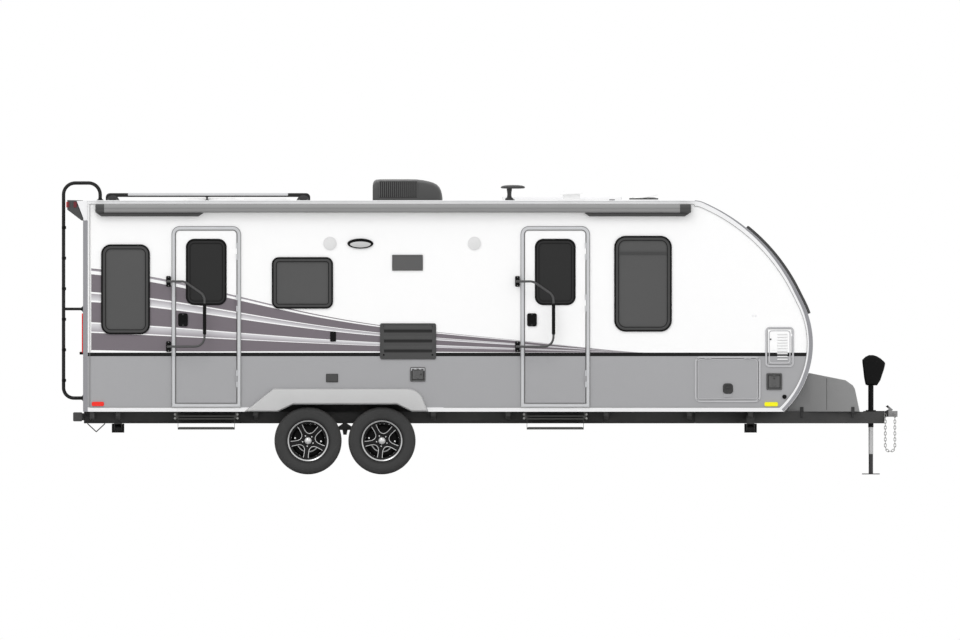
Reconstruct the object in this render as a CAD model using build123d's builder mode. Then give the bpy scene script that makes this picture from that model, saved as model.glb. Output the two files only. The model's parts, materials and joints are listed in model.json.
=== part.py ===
"""Twin-axle travel caravan, 8.9 m over the ladder and coupler, standing on its jack.

Millimetres. +X points to the coupler, +Y to the left side, +Z up. The origin lies on the ground
under the middle of the whole caravan. side is -1 on the right (entry door) side and +1 on the left.
"""
from build123d import *
from math import cos, degrees, radians, sin, sqrt
import os

os.makedirs("parts", exist_ok=True)

# ---------------------------------------------------------------- driving dimensions
half_width = 1220          # outer face of each side wall from the centre plane
wall = 38                  # laminated wall, roof and nose panels
floor_thickness = 50
rear_x = -4245             # outer face of the rear wall
roof_z = 2932
skirt_z = 671              # bottom edge of the walls, top of the chassis
fit = 0.3                  # clearance round anything let into a hole

# Side view of the nose: shoulder, long slope, short flat, chin, each tangent to the next
shoulder_x = 2299
shoulder_radius = 240
shoulder_turn = 23.3
slope_radius = 2000
slope_turn = 40
nose_flat = 150
chin_radius = 990
chin_turn = 82

# Nose window, set by the slope of the nose at its top and bottom edge
nose_window_high = 38.5
nose_window_low = 71.1
nose_window_half_width = 800
nose_window_frame = 46
nose_window_proud = 27

# Chassis
rail_height = 125
rail_width = 60
rail_web = 8
rail_y = half_width - 340
rail_front_x = 2300
rail_rear_x = -4238
drawbar_tip_x = 4330
drawbar_tip_y = 38
crossmember_width = 50

# Running gear
axle_x = {"rear": -1840, "front": -1049}
tyre_radius = 360
tyre_half_width = 112
tyre_bead_radius = 200
wheel_y = half_width - 98   # middle plane of a wheel
axles_middle = (axle_x["rear"] + axle_x["front"]) / 2
rim_radius = 218
rim_half_width = 84
spindle_radius = 22
hub_radius = 52
spoke_count = 5
axle_tube_radius = 32

# Wheel arch and fender
arch_top_z = 747
arch_half_low = 716
arch_half_high = 559
fender_top_z = 919
fender_proud = 66
fender_rear_low = 1077     # from the middle of the axles to each lower corner
fender_front_low = 892
fender_rear_high = 770
fender_front_high = 667
well_depth = 222
well_sheet = 12
well_top_z = 800

# Fixed windows: name, centre x, centre z, width, height, corner radius
windows = (
    ("bunk", -3793, 1980, 523, 963, 103),
    ("galley", -1900, 2049, 656, 552, 75),
    ("dinette", 1744, 2040, 617, 1026, 122),
)
window_frame = 50
window_lap = 20            # how far a frame laps the wall round its hole
window_proud = 12
glass = 5
transom_below_top = 185    # cross bar of the tall dinette window
transom_height = 22

# Entry doors: name, centre x
entry_doors = (("rear", -2929), ("front", 805))
door_width = 744
door_height = 1941
door_flange = 44
door_flange_proud = 14
door_corner = 89
door_gap = 5
jamb_liner = 8
door_leaf_proud = 8
door_window_width = 437
door_window_height = 708
door_window_corner = 91
door_window_frame = 46
door_window_above_sill = 1402
door_hinge_out = 20        # hinge pin in front of the wall
hinge_knuckle_radius = 5.5
hinge_knuckle_length = 60
hinge_pin_radius = 2.5

door_window_proud = 6
hinge_tab = 14
latch_from_middle = 249
latch_z = 1654
latch_width = 86
latch_height = 144
latch_corner = 20
latch_proud = 12

# Grab handles that fold across the doors
grab_from_door = 412       # hinge pins behind the middle of the door
grab_pin_out = 75
grab_leg = 60
grab_reach = 394
grab_high_z = 2065
grab_low_z = 1367
grab_tube_radius = 10.5
grab_leg_bend = 30
grab_upper_bend = 205
grab_lower_bend = 130
grip_low_z = 1497
grip_high_z = 1829
grip_radius = 20
grab_barrel = 40
grab_barrel_radius = 13
grab_pin_radius = 5
grab_ear = 8
grab_ear_width = 28
grab_plate_from_door = 404
grab_plate_width = 52
grab_plate_height = 110
grab_plate_thickness = 6

# Small fittings on the right wall: x, z (and width, height)
speakers = ((-1606, 2473), (-60, 2473))
speaker_radius = 71
speaker_proud = 14
porch_light = (-1280, 2470)
porch_light_radii = (139, 54)
porch_light_tiers = ((1, 12), (0.78, 28))
receptacles = ((-1572, 1474, 63, 107), (-1583, 1031, 130, 92))
receptacle_proud = 10

# Hatches in the right wall: name, centre x, centre z, width, height, corner radius, hinge edge
hatches = (
    ("baggage_door", 2651, 1018, 704, 491, 62, "top"),
    ("vented_hatch", 3206, 1364, 306, 429, 46, "front"),
    ("middle_hatch", -666, 1071, 164, 156, 14, "top"),
    ("nose_hatch", 3148, 993, 169, 180, 14, "top"),
)
hatch_flange = 20
hatch_flange_proud = 8
hatch_liner = 5
hatch_gap = 5
hatch_leaf_proud = 4
hatch_leaf_thickness = 26
hatch_pin_out = 12
hatch_knuckle_radius = 4
hatch_knuckle_length = 24
hatch_pin_radius = 1.8
hatch_tab = 8
hatch_latch = 86
hatch_latch_up = 70
hatch_latch_proud = 6
louvre_count = 10
louvre_margin = 40
louvre_length = 110
louvre_slot = 14
louvre_shift = 30

# Wheels
tyre_side_radius = 300
tread_half_width = 92
rim_sheet = 8
rim_lip = 10
hub_depth = 62
disc_y = 56                # outer face of the rim's disc from the wheel's middle plane
spoke_thickness = 26
cap_radius = 37
cap_proud = 8
cap_back = 22
spoke_first = 61.5
# Half of the opening between two spokes: along its middle, across
spoke_window = ((79, 0), (84, 20), (95, 37), (112, 51), (160, 81), (174, 52), (181, 0))

# Slide-out steps: tread z, thickness and depth, the lowest first
step_treads = ((480, 24, 170), (588, 12, 180), (618, 12, 180))
step_half_width = 300
step_depth = 180
step_top_z = 630
step_y = 140 - half_width
step_sheet = 5
runner_size = 22
runner_z = 614
runner_gap = 0.5
runner_side_gap = 2
runner_lip_gap = 4
channel_sheet = 8

# Corner stabilisers, folded flat towards the middle
stabiliser_x = (-3873, 2895)
stabiliser_pin_y = half_width - 390
stabiliser_z = 495
leg_width = 64
leg_depth = 50
leg_length = 470
leg_sheet = 5
foot_width = 134
foot_height = 96
foot_sheet = 6
stabiliser_ear = 6
stabiliser_ear_gap = 5
stabiliser_pin_radius = 8

# Coupler for a 58.7 mm ball
coupler_rear_x = 4100
coupler_plate = 8
ball_x = 4425
dome_radius = 43
dome_low_z = 616
ball_socket_radius = 29.7
ball_socket_depth = 42

# Tongue jack
jack_x = 4182
jack_tube_radius = 29
jack_tube_low = 505
jack_flange_radius = 55
jack_leg_radius = 26
jack_leg_top = 560
jack_drop_radius = 24
jack_drop_top = 219
foot_plate = 10
foot_plate_radius = 96
jack_head_low = 952
jack_head_half_width = 72
jack_head = ((-40, 0), (66, 0), (102, 55), (144, 182), (154, 232), (148, 250), (106, 288), (66, 312), (24, 325),
             (-20, 325), (-56, 308), (-92, 275), (-92, 250), (-72, 78), (-58, 10))

# Cover over the gas bottles on the drawbar, side view from the lower front corner
cover_profile = ((3250, 671), (4063, 671), (4012, 914), (3990, 952), (3911, 1008), (3525, 1085), (3250, 1140))
cover_gap = 2
cover_rear_half = 420
cover_front_half = 250
cover_taper_x = 3560

# Safety chains, hung in a loop under the coupler
chain_y = 84
chain_x = 4388
chain_pin_z = 640
chain_pin_radius = 4
chain_pin_root = 36        # from here out, clear of the ball socket
chain_pitch = 31.7
strand_links = 11
loop_links = 5             # round the half circle at the bottom
link_width = 28
link_wire = 7
link_length = chain_pitch + 2 * link_wire + 0.4
link_outline = ((-0.5, -0.25), (-0.32, -0.5), (0.32, -0.5), (0.5, -0.25), (0.5, 0.25), (0.32, 0.5), (-0.32, 0.5),
                (-0.5, 0.25))

# Awning along the top of the right wall
awning_rear_x = -4116
awning_front_x = 2258
awning_height = 94
awning_depth = 96
awning_arm_spans = ((-4108, -2956), (1114, 2247))
awning_arm_height = 38
awning_arm_depth = 60
arm_slope = 56

# Roof rack
rack_rear_x = -4002
rack_front_x = -1819
rack_y = half_width - 460
rack_rail_z = roof_z + 57
rack_rail_width = 44
rack_rail_height = 38
rack_feet = ((-4002, -3767), (-2942, -2900), (-2054, -1819))
rack_foot_width = 50
rack_bar_width = 40

# Air conditioner, side view from its lower rear corner
ac_rear_x = -1149
ac_half_width = 350
ac_profile = ((0, 0), (700, 0), (700, 10), (748, 22), (722, 155), (640, 200), (490, 227), (37, 227), (0, 190))
ac_fin_count = 22
ac_fin_middle = 280
ac_fin_length = 400
ac_fin_slot = 9
ac_fin_z = 118
ac_fin_height = 130
ac_fin_depth = 30

# Antenna: low and high above the roof, radius
antenna_x = 314
antenna_dish_x = 352
antenna_y = -480
antenna_dish = 100
antenna_stack = ((0, 30, 45), (30, 125, 28), (125, 165, 130))

# Solar panel
solar_rear_x = 241
solar_front_x = 1513
solar_y = 260
solar_width = 660
solar_lift = 10
solar_thickness = 26

# Roof vents: x, y, length, width, rear and front height of the lid, width of the base flange
vents = ((979, -760, 230, 230, 66, 72, 20), (1752, 0, 300, 380, 30, 84, 24))

# Ladder on the rear wall
ladder_x = -4456
ladder_y = -640
ladder_half_width = 190
ladder_tube_radius = 19
ladder_foot_z = 817
ladder_foot_bend = 110
ladder_rise = 186          # top of its hoop above the roof
ladder_top_z = roof_z + ladder_rise
ladder_top_bend = 125
ladder_front_x = -4064
ladder_standoffs = (1770,)
rung_count = 6
rung_low_z = 1006
rung_pitch = 327
rung_radius = 14

# Rear spoiler: distance behind the rear wall, z
spoiler_profile = ((0, 2718), (0, 2932), (172, 2936), (172, 2832), (18, 2716))

# Rear lamps: distance of the seat behind the rear wall, y, z, depth, width, height
rear_lamps = ((0, 1080, 1511, 16, 120, 424), (172, 980, 2886, 10, 110, 60), (172, 140, 2886, 10, 110, 60))
marker_lamps = ((-4089, 754, 130, 46), (3116, 751, 144, 46))
marker_proud = 10

# Rear bumper and skids
bumper_x = -4305
bumper_z = 616
bumper_size = 98
bumper_half_length = half_width - 130
skid_x = -4150
skid_wire = 8
skid_profile = ((-52, 0), (-44, 0), (44, -82), (132, 0), (140, 0), (140, -8), (48, -94), (40, -94), (-52, -8))

# Louvred vents: side, x, z, width, height, rows
vent_panels = ((-1, -776, 2265, 329, 170, 0), (-1, -770, 1424, 601, 386, 3), (1, -1300, 1424, 601, 386, 3),
               (1, 900, 1500, 440, 380, 5))
vent_corner = 16
vent_proud = 16
vent_slot = 22
vent_depth = 14

# Edge mouldings round each side wall
trim_proud = 6
trim_nose = 62
trim_roof = 39
trim_skirt = 45
trim_rear = 48


def nose_point(heading, outset=0):
    """Point on the nose where its surface has turned down by heading degrees, with that arc's centre."""
    turn_1 = radians(shoulder_turn)
    turn_2 = radians(shoulder_turn + slope_turn)
    slope_x = shoulder_x + (shoulder_radius - slope_radius) * sin(turn_1)
    slope_z = roof_z - shoulder_radius + (shoulder_radius - slope_radius) * cos(turn_1)
    chin_x = slope_x + (slope_radius - chin_radius) * sin(turn_2) + nose_flat * cos(turn_2)
    chin_z = slope_z + (slope_radius - chin_radius) * cos(turn_2) - nose_flat * sin(turn_2)
    on_slope = heading < shoulder_turn + slope_turn
    centre = (slope_x, slope_z) if on_slope else (chin_x, chin_z)
    radius = (slope_radius if on_slope else chin_radius) + outset
    way = radians(heading)
    return (centre[0] + radius * sin(way), centre[1] + radius * cos(way)), centre


def nose_run(outset):
    """Draws the nose line moved outward by outset and returns its first and last piece."""
    shoulder = JernArc((shoulder_x, roof_z + outset), (1, 0), shoulder_radius + outset, -shoulder_turn)
    slope = JernArc(shoulder @ 1, shoulder % 1, slope_radius + outset, -slope_turn)
    flat = Line(slope @ 1, slope @ 1 + nose_flat * (slope % 1))
    chin = JernArc(flat @ 1, flat % 1, chin_radius + outset, -chin_turn)
    return shoulder, chin


def body_shape(outset=0, rear=rear_x, low=skirt_z, high=None):
    """Side view of the caravan's body as a face, cut off at rear, low and high."""
    top = roof_z + outset if high is None else high
    with BuildSketch() as shape:
        with BuildLine():
            shoulder, chin = nose_run(outset)
            end = chin @ 1
            Polyline(end, (rear, end.Y), (rear, roof_z + outset), shoulder @ 0)
        make_face()
        with Locations((rear, low)):
            Rectangle(8 * half_width, top - low, align=(Align.MIN, Align.MIN), mode=Mode.INTERSECT)
    return shape.sketch


def hinge_plane(x, z, pin_out, upright=True):
    """Plane across a hinge pin in front of the right wall: x towards the frame, y away from the wall."""
    origin = (x, -half_width - pin_out, z)
    if upright:
        return Plane(origin=origin, x_dir=(1, 0, 0), z_dir=(0, 0, -1))
    return Plane(origin=origin, x_dir=(0, 0, 1), z_dir=(1, 0, 0))


def knuckle(radius, tab, drop, bore=0):
    """Hinge knuckle round the origin: its tab reaches tab sideways and drop down to the seat."""
    with BuildSketch() as shape:
        Circle(radius)
        with Locations((tab / 2, -drop / 2)):
            Rectangle(abs(tab), drop)
        if bore:
            Circle(bore, mode=Mode.SUBTRACT)
    return shape.sketch


def hatch_hinges(x, z, width, height, edge):
    """Planes across the middle of each hinge of a hatch."""
    upright = edge == "front"
    length, across = (height, width) if upright else (width, height)
    pin = across / 2 - hatch_flange - hatch_gap / 2
    spots = (-0.3 * length, 0.3 * length) if length > 8 * hatch_knuckle_length else (0,)
    if upright:
        return [hinge_plane(x + pin, z + spot, hatch_pin_out) for spot in spots]
    return [hinge_plane(x + spot, z + pin, hatch_pin_out, upright=False) for spot in spots]


def nose_band(outer, inner):
    """Strip between two outsets of the nose line as a face."""
    with BuildSketch() as band:
        with BuildLine():
            first_out, last_out = nose_run(outer)
            first_in, last_in = nose_run(inner)
            Line(first_out @ 0, first_in @ 0)
            Line(last_out @ 1, last_in @ 1)
        make_face()
    return band.sketch


def nose_section(outer, inner, high, low):
    """The part of that strip between two headings, cut square to the nose."""
    far = 2 * wall + 500
    high_far, high_centre = nose_point(high, far)
    low_far, low_centre = nose_point(low, far)
    with BuildSketch() as section:
        add(nose_band(outer, inner))
        with BuildLine():
            Polyline(high_centre, high_far, (high_far[0] + far, high_far[1]), low_far, low_centre, close=True)
        make_face(mode=Mode.INTERSECT)
    return section.sketch


def side_plane(side):
    """Outer face of a side wall: local x is X, local y is Z, and its normal is -Y on both sides."""
    return Plane.XZ.offset(-side * half_width)


def arch_shape():
    """Wheel arch as a face that runs down past the skirt."""
    low = arch_half_low
    high = arch_half_high
    with BuildSketch() as arch:
        with BuildLine():
            Polyline((axles_middle - low, 0), (axles_middle - low, skirt_z), (axles_middle - high, arch_top_z),
                     (axles_middle + high, arch_top_z), (axles_middle + low, skirt_z), (axles_middle + low, 0),
                     close=True)
        make_face()
    return arch.sketch


def arched_rectangle(x, z, width, height, corner):
    """Rectangle with only its two upper corners rounded, as a face."""
    with BuildSketch() as arched:
        with Locations((x, z)):
            Rectangle(width, height)
        fillet(arched.vertices().group_by(Axis.Y)[-1], corner)
    return arched.sketch


# ---------------------------------------------------------------- chassis
with BuildPart() as chassis_rails:
    for side in (-1, 1):
        with BuildSketch(Plane.YZ.offset(rail_rear_x)):
            with Locations((side * rail_y, skirt_z - rail_height / 2)):
                Rectangle(rail_width, rail_height)
            with Locations((side * (rail_y + rail_width / 4 + rail_web / 4), skirt_z - rail_height / 2),
                           (side * (rail_y - rail_width / 4 - rail_web / 4), skirt_z - rail_height / 2)):
                Rectangle((rail_width - rail_web) / 2, rail_height - 2 * rail_web, mode=Mode.SUBTRACT)
        extrude(amount=rail_front_x - rail_rear_x)
chassis_rails.part.label = "chassis_rails"
export_step(chassis_rails.part, "parts/chassis_rails.step")

def drawbar_y(x):
    """Distance of a drawbar beam's middle from the centre plane at x."""
    return rail_y + (drawbar_tip_y - rail_y) * (x - rail_front_x) / (drawbar_tip_x - rail_front_x)


drawbar_slope = (rail_y - drawbar_tip_y) / (drawbar_tip_x - rail_front_x)
drawbar_half = rail_width / 2 * sqrt(1 + drawbar_slope ** 2)
with BuildPart() as drawbar:
    for side in (-1, 1):
        with BuildSketch(Plane.XY.offset(skirt_z - rail_height)):
            with BuildLine():
                Polyline((rail_front_x, side * (rail_y - drawbar_half)), (rail_front_x, side * (rail_y + drawbar_half)),
                         (drawbar_tip_x, side * (drawbar_tip_y + drawbar_half)),
                         (drawbar_tip_x, side * (drawbar_tip_y - drawbar_half)), close=True)
            make_face()
        extrude(amount=rail_height)
drawbar.part.label = "drawbar"
export_step(drawbar.part, "parts/drawbar.step")

# Crossmembers between the rails and outriggers from the rails to the side walls
crossmember_x = (-4150, -2700, -300, 900, 2240)
outrigger_x = (-4150, -3873, -2400, -500, 300, 1350, 2240, 2895)
outrigger_height = 90
outrigger_toe = 40
with BuildPart() as cross_members:
    for x in crossmember_x:
        with BuildSketch(Plane.XY.offset(skirt_z - outrigger_height)):
            with Locations((x, 0)):
                Rectangle(crossmember_width, 2 * rail_y - rail_width)
        extrude(amount=outrigger_height)
    for side in (-1, 1):
        for x in outrigger_x:
            carrier = rail_y + rail_width / 2
            if x > rail_front_x:
                carrier = drawbar_y(x - crossmember_width / 2) + drawbar_half
            with BuildSketch(Plane.YZ.offset(x)):
                with BuildLine():
                    Polyline((side * carrier, skirt_z), (side * (half_width - wall), skirt_z),
                             (side * (half_width - wall), skirt_z - outrigger_toe),
                             (side * carrier, skirt_z - outrigger_height), close=True)
                make_face()
            extrude(amount=crossmember_width / 2, both=True)
        # Ears with a pin for each corner stabiliser
        for x in stabiliser_x:
            pin_y = side * stabiliser_pin_y
            under = skirt_z - rail_height
            outer_y = rail_y + rail_width / 2
            ear_x = leg_width / 2 + stabiliser_ear_gap
            for way in (-1, 1):
                with BuildSketch(Plane.YZ.offset(x + way * ear_x)):
                    with BuildLine():
                        Polyline((pin_y - side * 24, stabiliser_z - 22), (pin_y + side * 24, stabiliser_z - 22),
                                 (side * outer_y, under), (pin_y - side * 44, under), close=True)
                    make_face()
                extrude(amount=way * stabiliser_ear)
            seat_top = under if x < rail_front_x else skirt_z - outrigger_toe
            with BuildSketch(Plane.XY.offset(under - stabiliser_ear)):
                with Locations((x, side * (stabiliser_pin_y - 44 + outer_y) / 2)):
                    Rectangle(2 * (ear_x + stabiliser_ear), outer_y - stabiliser_pin_y + 44)
            extrude(amount=seat_top - under + stabiliser_ear)
            with BuildSketch(Plane.YZ.offset(x)):
                with Locations((pin_y, stabiliser_z)):
                    Circle(stabiliser_pin_radius)
            extrude(amount=ear_x + stabiliser_ear, both=True)
cross_members.part.label = "cross_members"
export_step(cross_members.part, "parts/cross_members.step")

# ---------------------------------------------------------------- running gear
spring_z = 445
spring_half_length = 275
spring_width = 50
spring_thickness = 26
hanger_width = 40
hanger_length = 44
equaliser_half_length = 125
axle_tube_half = wheel_y - 92
backing_radius = 150
backing_thickness = 8
spindle_end = wheel_y + 30
with BuildPart() as running_gear:
    for x in axle_x.values():
        with BuildSketch(Plane.XZ.offset(-axle_tube_half)):
            with Locations((x, tyre_radius)):
                Circle(axle_tube_radius)
        extrude(amount=2 * axle_tube_half)
        for side in (-1, 1):
            with BuildSketch(Plane.XZ.offset(-side * axle_tube_half)):
                with Locations((x, tyre_radius)):
                    Circle(backing_radius)
            extrude(amount=side * backing_thickness)
            with BuildSketch(Plane.XZ.offset(-side * axle_tube_half)):
                with Locations((x, tyre_radius)):
                    Circle(spindle_radius)
            extrude(amount=-side * (spindle_end - axle_tube_half))
            # Leaf spring: a shallow arc from hanger to hanger, clamped on the axle tube
            with BuildSketch(Plane.XZ.offset(-side * rail_y)):
                with BuildLine():
                    tips = spring_z + 40
                    saddle = tyre_radius + axle_tube_radius - 4
                    lower = ThreePointArc((x - spring_half_length, tips), (x, saddle), (x + spring_half_length, tips))
                    upper = ThreePointArc((x - spring_half_length, tips + spring_thickness),
                                          (x, saddle + 2 * spring_thickness),
                                          (x + spring_half_length, tips + spring_thickness))
                    Line(lower @ 0, upper @ 0)
                    Line(lower @ 1, upper @ 1)
                make_face()
            extrude(amount=spring_width / 2, both=True)
    ends = (axle_x["rear"] - spring_half_length, axles_middle, axle_x["front"] + spring_half_length)
    for side in (-1, 1):
        for x, half_length in zip(ends, (hanger_length / 2, equaliser_half_length, hanger_length / 2)):
            with BuildSketch(Plane.XZ.offset(-side * rail_y)):
                with BuildLine():
                    Polyline((x - half_length, spring_z + 30), (x + half_length, spring_z + 30),
                             (x + hanger_length / 2, skirt_z - rail_height),
                             (x - hanger_length / 2, skirt_z - rail_height), close=True)
                make_face()
            extrude(amount=hanger_width / 2, both=True)
        # The plate under the middle hanger, seen between the tyres
        with BuildSketch(Plane.XZ.offset(-side * rail_y)):
            with BuildLine():
                Polyline((axles_middle - 28, spring_z + 32), (axles_middle - 18, spring_z - 21),
                         (axles_middle + 18, spring_z - 21), (axles_middle + 28, spring_z + 32), close=True)
            make_face()
        extrude(amount=hanger_width / 2, both=True)
running_gear.part.label = "running_gear"
export_step(running_gear.part, "parts/running_gear.step")

# ---------------------------------------------------------------- floor with its wheel wells
well_rear = axle_x["rear"] - tyre_radius - 45
well_front = axle_x["front"] + tyre_radius + 45
well_middle = (well_rear + well_front) / 2
well_length = well_front - well_rear
inside = half_width - wall
with BuildPart() as floor:
    with BuildSketch(Plane.XZ):
        add(body_shape(outset=-wall - fit, rear=rear_x + wall, high=skirt_z + floor_thickness))
    extrude(amount=inside, both=True)
    for side in (-1, 1):
        well_y = side * (inside - well_depth / 2)
        with BuildSketch(Plane.XY.offset(skirt_z)):
            with Locations((well_middle, well_y)):
                Rectangle(well_length, well_depth)
        extrude(amount=well_top_z - skirt_z)
        with BuildSketch(Plane.XY.offset(skirt_z)):
            with Locations((well_middle, well_y + side * well_sheet / 2)):
                Rectangle(well_length - 2 * well_sheet, well_depth - well_sheet)
        extrude(amount=well_top_z - skirt_z - well_sheet, mode=Mode.SUBTRACT)
floor.part.label = "floor"
export_step(floor.part, "parts/floor.step")

# ---------------------------------------------------------------- walls, roof, nose
door_top = skirt_z + trim_skirt + fit + door_height
door_middle_z = door_top - door_height / 2
jamb_width = door_width - 2 * door_flange + 2 * jamb_liner
jamb_height = door_height - 2 * door_flange + 2 * jamb_liner
jamb_corner = door_corner - door_flange + jamb_liner


for side, name in ((-1, "side_wall_right"), (1, "side_wall_left")):
    with BuildPart() as side_wall:
        with BuildSketch(side_plane(side)):
            add(body_shape())
            add(arch_shape(), mode=Mode.SUBTRACT)
            for _, x, z, width, height, corner in windows:
                lap = 2 * window_lap - 2 * fit
                with Locations((x, z)):
                    RectangleRounded(width - lap, height - lap, corner - window_lap, mode=Mode.SUBTRACT)
            if side < 0:
                for _, x in entry_doors:
                    hole = (jamb_width + 2 * fit, jamb_height + 2 * fit, jamb_corner + fit)
                    add(arched_rectangle(x, door_middle_z, *hole), mode=Mode.SUBTRACT)
                for _, x, z, width, height, corner, _ in hatches:
                    inset = 2 * hatch_flange - 2 * hatch_liner - 2 * fit
                    with Locations((x, z)):
                        Rectangle(width - inset, height - inset, mode=Mode.SUBTRACT)
        extrude(amount=side * wall)
    side_wall.part.label = name
    export_step(side_wall.part, f"parts/{name}.step")

with BuildPart() as roof:
    with BuildSketch(Plane.XY.offset(roof_z - wall)):
        with Locations(((rear_x + shoulder_x) / 2, 0)):
            Rectangle(shoulder_x - rear_x, 2 * inside)
    extrude(amount=wall)
roof.part.label = "roof"
export_step(roof.part, "parts/roof.step")

with BuildPart() as rear_wall:
    with BuildSketch(Plane.YZ.offset(rear_x)):
        with Locations((0, (skirt_z + roof_z - wall) / 2)):
            Rectangle(2 * inside, roof_z - wall - skirt_z)
    extrude(amount=wall)
rear_wall.part.label = "rear_wall"
export_step(rear_wall.part, "parts/rear_wall.step")

with BuildPart() as nose_cap:
    with BuildSketch(Plane.XZ):
        add(nose_band(0, -wall))
        with Locations((shoulder_x, skirt_z)):
            Rectangle(2 * half_width, roof_z - skirt_z, align=(Align.MIN, Align.MIN), mode=Mode.INTERSECT)
    extrude(amount=inside, both=True)
    with BuildSketch(Plane.XZ):
        add(nose_section(wall, -2 * wall, nose_window_high, nose_window_low))
    extrude(amount=nose_window_half_width, both=True, mode=Mode.SUBTRACT)
nose_cap.part.label = "nose_cap"
export_step(nose_cap.part, "parts/nose_cap.step")

# ---------------------------------------------------------------- fenders and edge mouldings
fender_corner = 190
fender_corner_turn = 60
fender_taper = 10


def fender_shape():
    """Outline of a fender as a face, before its wheel arch is cut."""
    rear_low = (axles_middle - fender_rear_low, skirt_z)
    rear_high = (axles_middle - fender_rear_high, fender_top_z)
    front_high = (axles_middle + fender_front_high, fender_top_z)
    front_low = (axles_middle + fender_front_low, skirt_z)
    with BuildSketch() as outline:
        with BuildLine():
            crown = Line(rear_high, front_high)
            corner = JernArc(crown @ 1, (1, 0), fender_corner, -fender_corner_turn)
            Polyline(corner @ 1, front_low, rear_low, rear_high)
        make_face()
    return outline.sketch


with BuildPart() as fenders:
    for side in (-1, 1):
        with BuildSketch(side_plane(side)):
            add(fender_shape())
            add(arch_shape(), mode=Mode.SUBTRACT)
        extrude(amount=-side * fender_proud, taper=fender_taper)
fenders.part.label = "fenders"
export_step(fenders.part, "parts/fenders.step")

with BuildPart() as edge_trim:
    for side in (-1, 1):
        with BuildSketch(side_plane(side)):
            add(body_shape())
            add(body_shape(-trim_nose, rear_x + trim_rear, skirt_z + trim_skirt), mode=Mode.SUBTRACT)
            with Locations((rear_x + trim_rear, roof_z - trim_roof)):
                Rectangle(shoulder_x - rear_x - trim_rear, trim_nose, align=(Align.MIN, Align.MAX), mode=Mode.SUBTRACT)
            add(fender_shape(), mode=Mode.SUBTRACT)
        extrude(amount=-side * trim_proud)
edge_trim.part.label = "edge_trim"
export_step(edge_trim.part, "parts/edge_trim.step")

# ---------------------------------------------------------------- windows
nose_seat = degrees(fit / chin_radius)
nose_frame_high = degrees(nose_window_frame / slope_radius)
nose_frame_low = degrees(nose_window_frame / chin_radius)
with BuildPart() as window_frames:
    for side in (-1, 1):
        for name, x, z, width, height, corner in windows:
            lap = 2 * window_lap
            rim = 2 * window_frame
            with BuildSketch(side_plane(side)):
                with Locations((x, z)):
                    RectangleRounded(width, height, corner)
                    RectangleRounded(width - rim, height - rim, corner - window_frame, mode=Mode.SUBTRACT)
            extrude(amount=-side * window_proud)
            with BuildSketch(side_plane(side)):
                with Locations((x, z)):
                    RectangleRounded(width - lap, height - lap, corner - window_lap)
                    RectangleRounded(width - rim, height - rim, corner - window_frame, mode=Mode.SUBTRACT)
            extrude(amount=side * wall)
            if name == "dinette":
                transom_z = z + height / 2 - transom_below_top
                with BuildSketch(side_plane(side)):
                    with Locations((x, transom_z)):
                        Rectangle(width - rim, transom_height)
                extrude(amount=-side * window_proud)
    with BuildSketch(Plane.XZ):
        add(nose_section(nose_window_proud, -wall, nose_window_high + nose_seat, nose_window_low - nose_seat))
    extrude(amount=nose_window_half_width - fit, both=True)
    with BuildSketch(Plane.XZ):
        add(nose_section(wall, -2 * wall, nose_window_high + nose_frame_high, nose_window_low - nose_frame_low))
    extrude(amount=nose_window_half_width - nose_window_frame, both=True, mode=Mode.SUBTRACT)
window_frames.part.label = "window_frames"
export_step(window_frames.part, "parts/window_frames.step")

with BuildPart() as window_glass:
    for side in (-1, 1):
        for _, x, z, width, height, corner in windows:
            rim = 2 * window_frame + 2 * fit
            with BuildSketch(side_plane(side)):
                with Locations((x, z)):
                    RectangleRounded(width - rim, height - rim, corner - window_frame)
            extrude(amount=side * glass)
    with BuildSketch(Plane.XZ):
        add(nose_section(nose_window_proud - glass, nose_window_proud - 2 * glass,
                         nose_window_high + nose_frame_high + nose_seat,
                         nose_window_low - nose_frame_low - nose_seat))
    extrude(amount=nose_window_half_width - nose_window_frame - fit, both=True)
window_glass.part.label = "window_glass"
export_step(window_glass.part, "parts/window_glass.step")

# ---------------------------------------------------------------- entry doors
leaf_width = door_width - 2 * door_flange - 2 * door_gap
leaf_height = door_height - 2 * door_flange - 2 * door_gap
leaf_corner = door_corner - door_flange - door_gap
door_window_z = door_middle_z - leaf_height / 2 + door_window_above_sill
knuckle_rows = (-0.36, 0.08, 0.38)       # hinge heights as shares of the leaf, from its middle


with BuildPart() as door_frames:
    for _, x in entry_doors:
        opening = (door_width - 2 * door_flange, door_height - 2 * door_flange)
        with BuildSketch(side_plane(-1)):
            add(arched_rectangle(x, door_middle_z, door_width, door_height, door_corner))
            add(arched_rectangle(x, door_middle_z, *opening, door_corner - door_flange), mode=Mode.SUBTRACT)
        extrude(amount=door_flange_proud)
        with BuildSketch(side_plane(-1)):
            add(arched_rectangle(x, door_middle_z, jamb_width, jamb_height, jamb_corner))
            add(arched_rectangle(x, door_middle_z, *opening, door_corner - door_flange), mode=Mode.SUBTRACT)
        extrude(amount=-wall)
        for row in knuckle_rows:
            seat = hinge_plane(x + leaf_width / 2 + door_gap / 2, door_middle_z + row * leaf_height, door_hinge_out)
            for way in (-1, 1):
                with BuildSketch(seat.offset(way * (hinge_knuckle_length + 1))):
                    add(knuckle(hinge_knuckle_radius, 2 * hinge_knuckle_radius, door_hinge_out - door_flange_proud))
                extrude(amount=hinge_knuckle_length / 2, both=True)
            with BuildSketch(seat):
                Circle(hinge_pin_radius)
            extrude(amount=hinge_knuckle_length, both=True)
door_frames.part.label = "door_frames"
export_step(door_frames.part, "parts/door_frames.step")

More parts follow.
